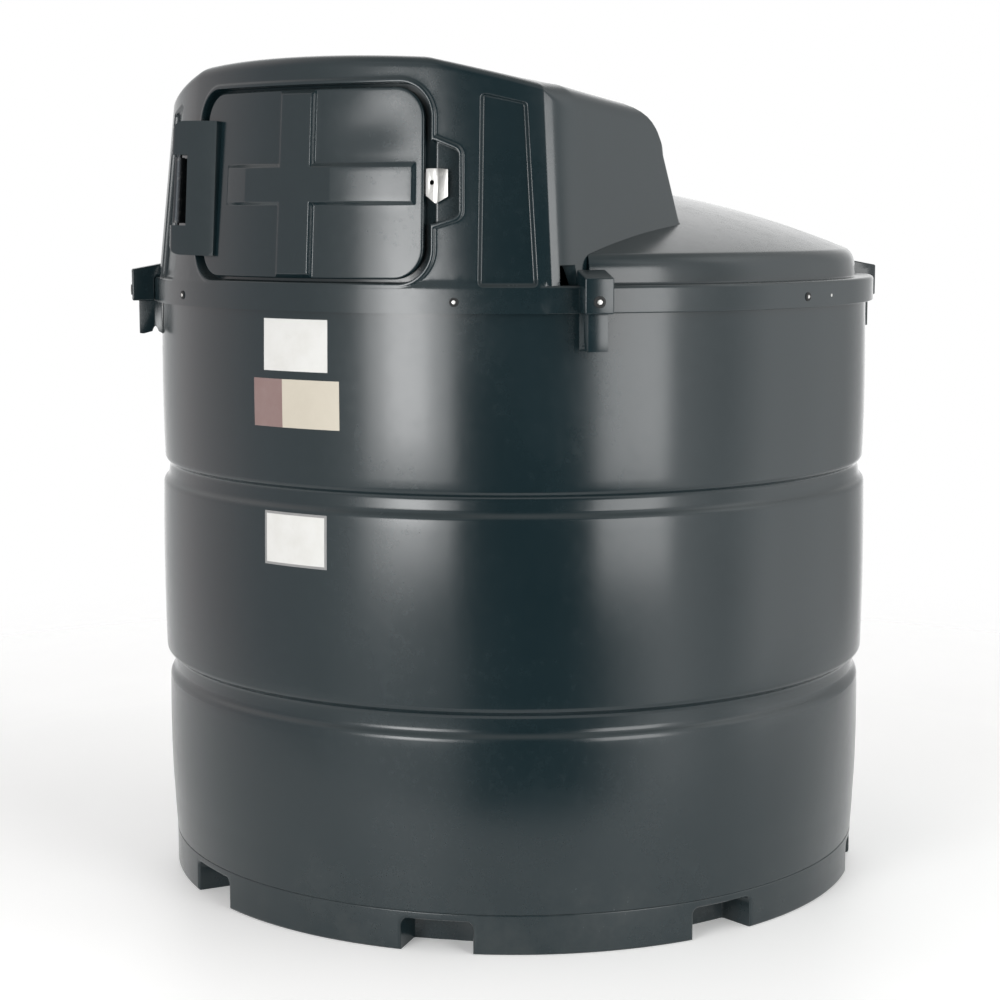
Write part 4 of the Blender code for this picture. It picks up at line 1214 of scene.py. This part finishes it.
def door_relief(points):
    """How far the door's face stands out from the hood's face line at flat points."""
    # Rounded, so that the border's points lie exactly on the edge
    edge = np.round(-outline_distance(points, *flat_corners(DOOR)), 6)
    t = 1 - np.clip(edge / DOOR_ROUND, 0.0, 1.0)
    ground = DOOR_OUT - DOOR_ROUND * 0.8 * (1 - np.sqrt(1 - t * t))
    angle = np.degrees(points[:, 0] / FLAT)
    height = np.clip((points[:, 1] - CROSS_HIGH) / (DOOR[0][2][1] - CROSS_HIGH), 0.0, 1.0)
    across = np.clip((angle - BAR_CENTRE - BAR_HALF) / (DOOR[0][1][0] - BAR_CENTRE - BAR_HALF), 0.0, 1.0)
    ground -= DISH * np.sin(math.pi * height) ** 2 * np.sin(math.pi * across) ** 2
    beyond = np.min([outline_distance(points, bar, BAR_CORNER) for bar in cross_bars()], axis=0)
    return ground + (bar_top(angle) - ground) * step_down(beyond, BAR_SECTION)


def lean(ob):
    """Tips a piece of the hinge back, nearly as far as the hood's face, about the middle of the pin."""
    middle = Vector((AXIS[0], AXIS[1], (HINGE_LOW + HINGE_HIGH) / 2))
    inward = Vector((-AXIS[0], -AXIS[1], 0.0)).normalized() * HINGE_LEAN
    turn = Vector((0, 0, 1)).rotation_difference(inward + Vector((0, 0, 1))).to_matrix().to_4x4()
    ob.data.transform(Matrix.Translation(middle) @ turn @ Matrix.Translation(-middle))
    return ob


def face_section(angle, low, high, inner, outer):
    """The four corners of an upright section on the hood's face, between two offsets from it."""
    return on_face(np.full(4, angle), np.array([low, low, high, high]), np.array([inner, outer, outer, inner]))


def face_slab(name, angles, low, high, inner, outer):
    """A slab that follows the hood's face between two offsets from it."""
    return solid_of(name, [face_section(angle, low, high, inner, outer) for angle in angles])


def hinge_outline(nose=28):
    """Plan of the hinge moulding as (along, across) from the pin: a half-round nose, then out over the door."""
    angle = math.radians(HINGE_SKEW)
    along = np.array((math.cos(angle), math.sin(angle)))
    across = np.array((along[1], -along[0]))
    points = []
    for i in range(nose + 1):
        t = math.radians(-90 + 180 * i / nose)
        points.append((-KNUCKLE_R * math.cos(t), -KNUCKLE_R * math.sin(t)))
    mid_r = face_radius((HINGE_LOW + HINGE_HIGH) / 2)
    out_r, in_r = mid_r + HINGE_END_OUT, mid_r - 0.03
    ends = [(in_r, -20.0), (in_r, HINGE_END), (out_r, HINGE_END), (out_r + HINGE_END_OUT, HINGE_END - 0.6)]
    centre = np.array(AXIS)
    for r, a in ends:
        p = polar(r, a) - centre
        points.append((p @ along, p @ across))
    return np.array(points), along, across


class TANK_OT_hinge(bpy.types.Operator):
    """Model the hinge moulding with its two rounded lobes and the slot between them"""
    bl_idname = "tank.hinge"
    bl_label = "Hinge moulding"

    def execute(self, context):
        plan, along, across = hinge_outline()
        heights = [HINGE_LOW + LOBE_LOW * (1 - math.cos(math.pi / 2 * k / 7)) for k in range(8)]
        heights += list(np.linspace(HINGE_LOW + LOBE_LOW, HINGE_HIGH - LOBE_HIGH, 8)[1:-1])
        heights += [HINGE_HIGH - LOBE_HIGH * (1 - math.sin(math.pi / 2 * k / 9)) for k in range(10)]
        rings = []
        for z in heights:
            pull = 0.0
            for reach, near in ((LOBE_LOW, z - HINGE_LOW), (LOBE_HIGH, HINGE_HIGH - z)):
                if near < reach:
                    pull = LOBE_WIDTH * (1 - math.sqrt(max(0.0, 1 - (1 - near / reach) ** 2)))
            near = min(z - HINGE_LOW, HINGE_HIGH - z, END_ROUND)
            tuck = END_ROUND - math.sqrt(END_ROUND ** 2 - (END_ROUND - near) ** 2)
            a = np.clip(plan[:, 0], -KNUCKLE_R + pull, plan[:, 0].max() - tuck)
            flat = np.array(AXIS) + a[:, None] * along + plan[:, 1][:, None] * across
            rings.append(np.column_stack([flat, np.full(len(flat), z)]))
        block = solid_of("hinge_cover", rings, merge=1e-6)
        left, right = AXIS[0] - 0.05, AXIS[0] + SLOT_REACH
        front, back = AXIS[1] - 0.06, AXIS[1] + 0.06
        carve(block, solid_of("slot", [np.array([(left, front, z), (right, front, z), (right, back, z),
                                                 (left, back, z)]) for z in (SLOT_LOW, SLOT_HIGH)]))
        merge_flat(block)
        round_edges(block, context.scene.tank_shape.edge, 3, 40.0)
        lean(block)
        below, above = HINGE_LOW - 0.1, HINGE_HIGH + 0.1
        over_bead = np.linspace(-36, SEAT_LEFT, 24)
        over_door = np.linspace(SEAT_LEFT - 0.1, -8, 20)
        carve(block, face_slab("bead_room", over_bead, below, above, -0.1, BEAD_OUT + 0.0055))
        carve(block, face_slab("seat", over_door, below, above, -0.1, DOOR_OUT + GAP))
        dress(block, finishes["plastic"], LEAF, 40.0)
        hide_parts("hinge_moulding")
        return {"FINISHED"}


class TANK_OT_latch(bpy.types.Operator):
    """Model the folded steel hasp at the door's free edge"""
    bl_idname = "tank.latch"
    bl_label = "Latch plate"

    def execute(self, context):
        plate = solid_of("latch_hasp", [face_section(angle, low, high, out, out + LATCH_THICK)
                                        for angle, out, low, high in LATCH])
        turn = 2 * math.pi * np.arange(20) / 20
        across = LOCK_HOLE[0] + np.degrees(LOCK_HOLE_R * np.cos(turn) / FACE_R)
        ends = [on_face(across, LOCK_HOLE[1] + LOCK_HOLE_R * np.sin(turn), out) for out in (-0.012, 0.012)]
        carve(plate, solid_of("lock_hole", ends))
        round_edges(plate, 0.0005, 2, 50.0)
        dress(plate, finishes["steel"], LEAF, 30.0)
        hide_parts("latch_plate")
        return {"FINISHED"}


class TANK_OT_lugs(bpy.types.Operator):
    """Model the four clamp blocks over the rim and the arched legs below it"""
    bl_idname = "tank.lugs"
    bl_label = "Clamp lugs"

    def execute(self, context):
        for name, angle in LUG_ANGLES.items():
            self.block(name, angle, context.scene.tank_shape.edge)
            self.leg(name, angle, context.scene.tank_shape.edge)
        return {"FINISHED"}

    def block(self, name, angle, edge):
        inner = LUG_FRONT_R if "front" in name else LUG_REAR_R
        back = LUG_FACE_TOP + (LUG_OUT_R - inner) * LUG_SLOPE
        side = [(RIM_R + GAP, LUG_LOW), (LUG_OUT_R, LUG_LOW), (LUG_OUT_R, LUG_FACE_TOP), (inner, back - 0.0012),
                (inner, LEDGE_TOP + GAP), (LEDGE_R + GAP, LEDGE_TOP + GAP), (RIM_R + GAP, RIM_HIGH + GAP)]
        block = solid_of("clamp_block_" + name, [np.array([(x, -r, z) for r, z in side])
                                                 for x in (-LUG_W / 2, LUG_W / 2)])
        round_edges(block, edge * 1.6, 4, 40.0)
        block.data.transform(Matrix.Rotation(math.radians(angle), 4, "Z"))
        dress(block, finishes["plastic"], TANK, 40.0)
        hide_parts("lug_block_" + name)

    def leg(self, name, angle, edge):
        wall = BODY_R + 0.0012
        arch = [(wall + 0.008 + 0.020 * k / 10, LEG_LOW + (LEG_ARCH - LEG_LOW) * math.sin(math.pi * k / 10))
                for k in range(1, 10)]
        side = ([(wall, LEG_LOW)] + arch + [(LEG_OUT_R - 0.010, LEG_LOW), (LEG_OUT_R, LEG_LOW + 0.001),
                (LEG_OUT_R, LUG_LOW - GAP), (RIM_R, LUG_LOW - GAP), (RIM_R, RIM_LOW - GAP),
                (wall, RIM_LOW - GAP)])
        rings = []
        for side_of in (-1, 1):
            ring = []
            for r, z in side:
                share = min(1.0, max(0.0, (r - wall) / 0.020))
                ring.append((side_of * (LEG_ROOT_W + (LEG_W - LEG_ROOT_W) * share) / 2, -r, z))
            rings.append(np.array(ring))
        leg = solid_of("clamp_leg_" + name, rings)
        round_edges(leg, edge, 3, 40.0)
        leg.data.transform(Matrix.Rotation(math.radians(angle), 4, "Z"))
        dress(leg, finishes["plastic"], TANK, 40.0)
        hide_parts("lug_leg_" + name)


def bolt_at(heads, cups, place, outward, up, head, cup):
    """Adds a hex head that sits in a moulded cup, standing on a point of a surface."""
    outward = np.array(outward, float) / np.linalg.norm(outward)
    up = np.array(up, float)
    side = np.cross(up, outward)
    side /= np.linalg.norm(side)
    up = np.cross(outward, side)

    def ring(radius, height, count, spin=0.0):
        a = 2 * math.pi * np.arange(count) / count + spin
        around = np.outer(np.cos(a), side) + np.outer(np.sin(a), up)
        return np.asarray(place) + radius * around + height * outward

    rings = [ring(cup + past, height, 32) for past, height in CUP_OUTSIDE]
    rings += [ring(head + past, height, 32) for past, height in CUP_INSIDE]
    cups.loft(rings, round_rows=True)
    cups.cap(rings[0])
    cups.cap(rings[-1])
    hexagon = [ring(head * share, height, 6, 0.3) for share, height in HEAD]
    heads.loft(hexagon, round_rows=True)
    heads.cap(hexagon[-1])
    heads.cap(hexagon[0])


class TANK_OT_bolts(bpy.types.Operator):
    """Set the bolts of the lugs and the rim"""
    bl_idname = "tank.bolts"
    bl_label = "Bolts"

    def execute(self, context):
        size = context.scene.tank_shape.bolt_head
        lugs, rim, cups = Surface(), Surface(), Surface()
        for angle in LUG_ANGLES.values():
            place = np.append(polar(LUG_OUT_R, angle), LUG_BOLT_Z)
            bolt_at(lugs, cups, place, (*polar(1.0, angle), 0.0), (0, 0, 1), size, size * 2.1)
        for angle in RIM_BOLTS:
            across = max(abs(x) for x in polar(1.0, angle))
            # A head at the tank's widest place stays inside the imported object's box
            reach = min(RIM_R, (CAD_HIGH[0] - GAP) / across - BOLT_RISE)
            place = np.append(polar(reach, angle), RIM_BOLT_Z)
            bolt_at(rim, cups, place, (*polar(1.0, angle), 0.0), (0, 0, 1), size * 0.78, size * 1.65)
        for surface, name, finish, slot in ((lugs, "lug_bolts", "steel", "steel"),
                                            (rim, "rim_bolts", "steel", "steel"),
                                            (cups, "bolt_cups", "rubber", "moulded_plastic")):
            bolts = surface.make(name, finishes[finish], TANK, 30.0, 1e-6)
        return {"FINISHED"}


class TANK_OT_labels(bpy.types.Operator):
    """Lay the blank labels on the wall below the door"""
    bl_idname = "tank.labels"
    bl_label = "Blank labels"

    def execute(self, context):
        for name, across, heights, share, finish in LABELS:
            self.lay(name, across, heights, context.scene.tank_shape.label * share, finish)
        return {"FINISHED"}

    def lay(self, name, across, heights, thick, finish):
        line = wall_line()
        angles = np.linspace(*across, 24)
        levels = np.linspace(*heights, 14)
        rows = []
        for z in levels:
            r = np.interp(z, line[:, 1], line[:, 0])
            rows.append(np.column_stack([polar(wall_bulge(r, z, angles), angles), np.full(len(angles), z)]))
        rows = np.array(rows)
        reach = np.linalg.norm(rows[..., :2], axis=-1)[..., None]
        outer = rows.copy()
        outer[..., :2] *= (reach + thick) / reach
        surface = Surface()
        surface.add(*grid_faces(outer))
        surface.loft([self.border(outer), self.border(rows)], round_rows=True)
        surface.add(*grid_faces(rows))
        label = surface.make(name, finishes[finish], TANK, 30.0, 1e-6)

    @staticmethod
    def border(grid):
        return np.concatenate([grid[0], grid[1:, -1], grid[-1, -2::-1], grid[-2:0:-1, 0]])


class TANK_OT_carried(bpy.types.Operator):
    """Give the pieces kept from the frame their finish"""
    bl_idname = "tank.carried"
    bl_label = "Kept pieces"

    def execute(self, context):
        kept = {"bund_floor": "plastic", "cabinet_floor": "plastic",
                "hinge_plate": "painted", "hinge_pin": "painted"}
        for name, finish in kept.items():
            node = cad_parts[name]
            node.data.materials.clear()
            node.data.materials.append(finishes[finish])
        return {"FINISHED"}


def area_light(name, azimuth, height, distance, size, power, tilt_z):
    """A soft box that faces the tank."""
    data = bpy.data.lights.new(name, "AREA")
    data.shape = "RECTANGLE"
    data.size, data.size_y = size
    data.energy = power
    lamp = bpy.data.objects.new(name, data)
    bpy.context.scene.collection.objects.link(lamp)
    x, y = polar(distance, azimuth)
    lamp.location = (x, y, height)
    aim = Vector((0, 0, tilt_z)) - lamp.location
    lamp.rotation_euler = aim.to_track_quat("-Z", "Y").to_euler()


class TANK_OT_studio(bpy.types.Operator):
    """Set the floor, the lights, the surroundings and the camera"""
    bl_idname = "tank.studio"
    bl_label = "Studio"

    def execute(self, context):
        studio = context.scene.tank_studio
        self.floor(studio)
        self.surroundings(studio)
        for name, power, *place, aim in LIGHTS:
            area_light(name, *place, getattr(studio, power), aim)
        context.scene.view_settings.view_transform = "Standard"
        self.camera()
        return {"FINISHED"}

    def floor(self, studio):
        surface = Surface()
        ring = polar(5.0, 360.0 * np.arange(96) / 96) + polar(3.0, DARK_WALL + 180)
        surface.cap(np.column_stack([ring, np.zeros(len(ring))]))
        floor = surface.make("studio_floor", None, body=None)
        finish = Finish("floor_paint", tuple(studio.floor), 0.55)
        mottle = finish.noise(1.2, 4.0, 0.6)
        finish.set("Roughness", 0.45 + 0.2 * mottle)
        away = finish.node("VectorMath", {"operation": "LENGTH"}, output=1, Vector=finish.place())
        finish.set("Alpha", 1.0 - away.band(1.5, 4.6))
        finish.set("Emission Color", (1.0, 1.0, 1.0, 1.0))
        finish.set("Emission Strength", studio.floor_glow)
        floor.data.materials.append(finish.material)

    def surroundings(self, studio):
        """A room whose walls change by direction, as the tank reflects it; the camera sees a white backdrop."""
        world = bpy.data.worlds.new("surroundings")
        bpy.context.scene.world = world
        world.use_nodes = True
        room = Nodes(world.node_tree, "Background")
        place = room.node("TexCoord")

        def along(azimuth):
            return room.node("VectorMath", {"operation": "DOT_PRODUCT"}, output=1, Vector=place,
                             Vector_001=(*polar(1.0, azimuth), 0.0))

        ahead, aside = along(DARK_WALL), along(DARK_WALL + 90)
        turn = ahead.maths("ARCTAN2", aside, ahead) / (2 * math.pi) + 0.5
        stops = [((azimuth - DARK_WALL) / 360 + 0.5, shade) for azimuth, shade in ROOM]
        walls = room.node("ValToRGB", {"stops": stops}, Fac=turn)
        level = (ahead * ahead + aside * aside) ** 0.5
        ceiling = (1.0 - level.band(0.35, 0.78)) * room.parts(place, 2).band(0.0, 0.3)
        shade = room.mix(ceiling, walls, rgba([studio.ceiling] * 3))
        seen = room.node("LightPath")
        room.set("Color", room.mix(seen, shade, rgba([1.0 / studio.room] * 3)))
        room.set("Strength", studio.room)

    def camera(self):
        """The photograph's place and lens."""
        data = bpy.data.cameras.new("viewpoint")
        data.lens = LENS
        data.sensor_width = SENSOR
        camera = bpy.data.objects.new("viewpoint", data)
        bpy.context.scene.collection.objects.link(camera)
        around, pitch, yaw, roll = (math.radians(a) for a in
                                    (CAMERA_AROUND, CAMERA_PITCH, CAMERA_YAW, CAMERA_ROLL))
        place = (0.0, -CAMERA_DISTANCE, CAMERA_HEIGHT)
        forward = Vector((-math.sin(yaw) * math.cos(pitch), math.cos(yaw) * math.cos(pitch), -math.sin(pitch)))
        right = Vector((math.cos(yaw), math.sin(yaw), 0))
        up = right.cross(forward)
        tilted = right * math.cos(roll) + up * math.sin(roll)
        upright = up * math.cos(roll) - right * math.sin(roll)
        rows = [(tilted[i], upright[i], -forward[i], place[i]) for i in range(3)]
        camera.matrix_world = Matrix.Rotation(around, 4, "Z") @ Matrix((*rows, (0, 0, 0, 1)))
        bpy.context.scene.camera = camera


class TankShape(bpy.types.PropertyGroup):
    edge: FloatProperty(name="Edge rounding", description="Rounding of the lugs' and the hinge's edges",
                        default=0.0022, min=0.0005, max=0.006, subtype="DISTANCE", unit="LENGTH")
    band_edge: FloatProperty(name="Band rounding", description="Reach of the rounding at the bands' corners",
                             default=0.009, min=0.002, max=0.02, subtype="DISTANCE", unit="LENGTH")
    notch_edge: FloatProperty(name="Notch rounding", description="Rounding of the notches' mouths",
                              default=0.007, min=0.002, max=0.012, subtype="DISTANCE", unit="LENGTH")
    waviness: FloatProperty(name="Waviness", description="Unevenness of the moulded wall",
                            default=0.0008, min=0.0, max=0.002, subtype="DISTANCE", unit="LENGTH")
    bolt_head: FloatProperty(name="Bolt head", description="Radius of the lug bolts' heads",
                             default=0.0064, min=0.004, max=0.012, subtype="DISTANCE", unit="LENGTH")
    label: FloatProperty(name="Label thickness", description="Thickness of the labels",
                         default=0.0006, min=0.0002, max=0.002, subtype="DISTANCE", unit="LENGTH")


class TankFinish(bpy.types.PropertyGroup):
    plastic: FloatVectorProperty(name="Plastic", description="Main colour of the moulding", size=3,
                                 default=(0.006, 0.014, 0.017), min=0.0, max=1.0, subtype="COLOR")
    plastic_pale: FloatVectorProperty(name="Plastic, paler", description="Colour of its paler mottling",
                                      size=3, default=(0.010, 0.020, 0.024), min=0.0, max=1.0, subtype="COLOR")
    plastic_rough: FloatProperty(name="Plastic roughness", description="Roughness of the moulding",
                                 default=0.17, min=0.05, max=1.0, subtype="FACTOR")
    steel: FloatVectorProperty(name="Steel", description="Colour of the plated steel", size=3,
                               default=(0.62, 0.62, 0.60), min=0.0, max=1.0, subtype="COLOR")
    steel_rough: FloatProperty(name="Steel roughness", description="Roughness of the plated steel",
                               default=0.28, min=0.05, max=1.0, subtype="FACTOR")


class TankStudio(bpy.types.PropertyGroup):
    left_power: FloatProperty(name="Left box", description="Power of the left soft box in watts",
                              default=90.0, min=0.0, max=2000.0)
    core_power: FloatProperty(name="Left core", description="Power of the left box's bright middle in watts",
                              default=50.0, min=0.0, max=2000.0)
    right_power: FloatProperty(name="Right box", description="Power of the right soft box in watts",
                               default=111.0, min=0.0, max=2000.0)
    ceiling: FloatProperty(name="Ceiling", description="Brightness of the room overhead",
                           default=0.15, min=0.0, max=1.0, subtype="FACTOR")
    room: FloatProperty(name="Room", description="Brightness of the surroundings",
                        default=2.0, min=0.0, max=5.0)
    floor_glow: FloatProperty(name="Floor glow", description="Light of the floor's own, as of a light table",
                              default=0.18, min=0.0, max=1.0, subtype="FACTOR")
    floor: FloatVectorProperty(name="Floor", description="Colour of the floor", size=3,
                               default=(0.93, 0.93, 0.92), min=0.0, max=1.0, subtype="COLOR")


PIECES = (TANK_OT_wall, TANK_OT_base, TANK_OT_hood, TANK_OT_rear_cover, TANK_OT_door, TANK_OT_hinge,
          TANK_OT_latch, TANK_OT_lugs, TANK_OT_bolts, TANK_OT_labels, TANK_OT_carried, TANK_OT_studio)
GROUPS = {"tank_shape": TankShape, "tank_finish": TankFinish, "tank_studio": TankStudio}


class TANK_PT_panel(bpy.types.Panel):
    """The tank's sizes, finishes and steps"""
    bl_label = "Fuel tank"
    bl_space_type = "VIEW_3D"
    bl_region_type = "UI"
    bl_category = "Fuel tank"

    def draw(self, context):
        for group in GROUPS:
            values = getattr(context.scene, group)
            for name in values.bl_rna.properties.keys():
                if name not in ("rna_type", "name"):
                    self.layout.prop(values, name)
        for piece in PIECES:
            self.layout.operator(piece.bl_idname)


finishes = {}


def make_finishes():
    values = bpy.context.scene.tank_finish
    plastic, pale = tuple(values.plastic), tuple(values.plastic_pale)
    finishes["plastic"] = moulded_finish("slate_polyethylene", plastic, pale, values.plastic_rough)
    finishes["rubber"] = moulded_finish("black_rubber", (0.003, 0.004, 0.004), (0.006, 0.007, 0.008), 0.62)
    finishes["painted"] = steel_finish("painted_steel", (0.05, 0.055, 0.06), 0.42)
    finishes["steel"] = steel_finish("plated_steel", tuple(values.steel), values.steel_rough)
    finishes["white_label"] = label_finish("white_vinyl", (0.62, 0.62, 0.60), (0.48, 0.47, 0.43))
    finishes["red_label"] = label_finish("red_grey_vinyl", (0.20, 0.13, 0.12), (0.26, 0.20, 0.19))
    finishes["beige_label"] = label_finish("beige_vinyl", (0.50, 0.46, 0.38), (0.42, 0.38, 0.31))
    finishes["grey_label"] = label_finish("grey_vinyl", (0.22, 0.22, 0.22), (0.30, 0.30, 0.29))


def register():
    for cls in (*GROUPS.values(), *PIECES, TANK_PT_panel):
        bpy.utils.register_class(cls)
    for name, group in GROUPS.items():
        setattr(bpy.types.Scene, name, PointerProperty(type=group))


def unregister():
    for name in GROUPS:
        delattr(bpy.types.Scene, name)
    for cls in reversed((*GROUPS.values(), *PIECES, TANK_PT_panel)):
        bpy.utils.unregister_class(cls)


def main():
    register()
    make_finishes()
    for piece in PIECES:
        group, name = piece.bl_idname.split(".")
        getattr(getattr(bpy.ops, group), name)()


if __name__ == "__main__":
    main()
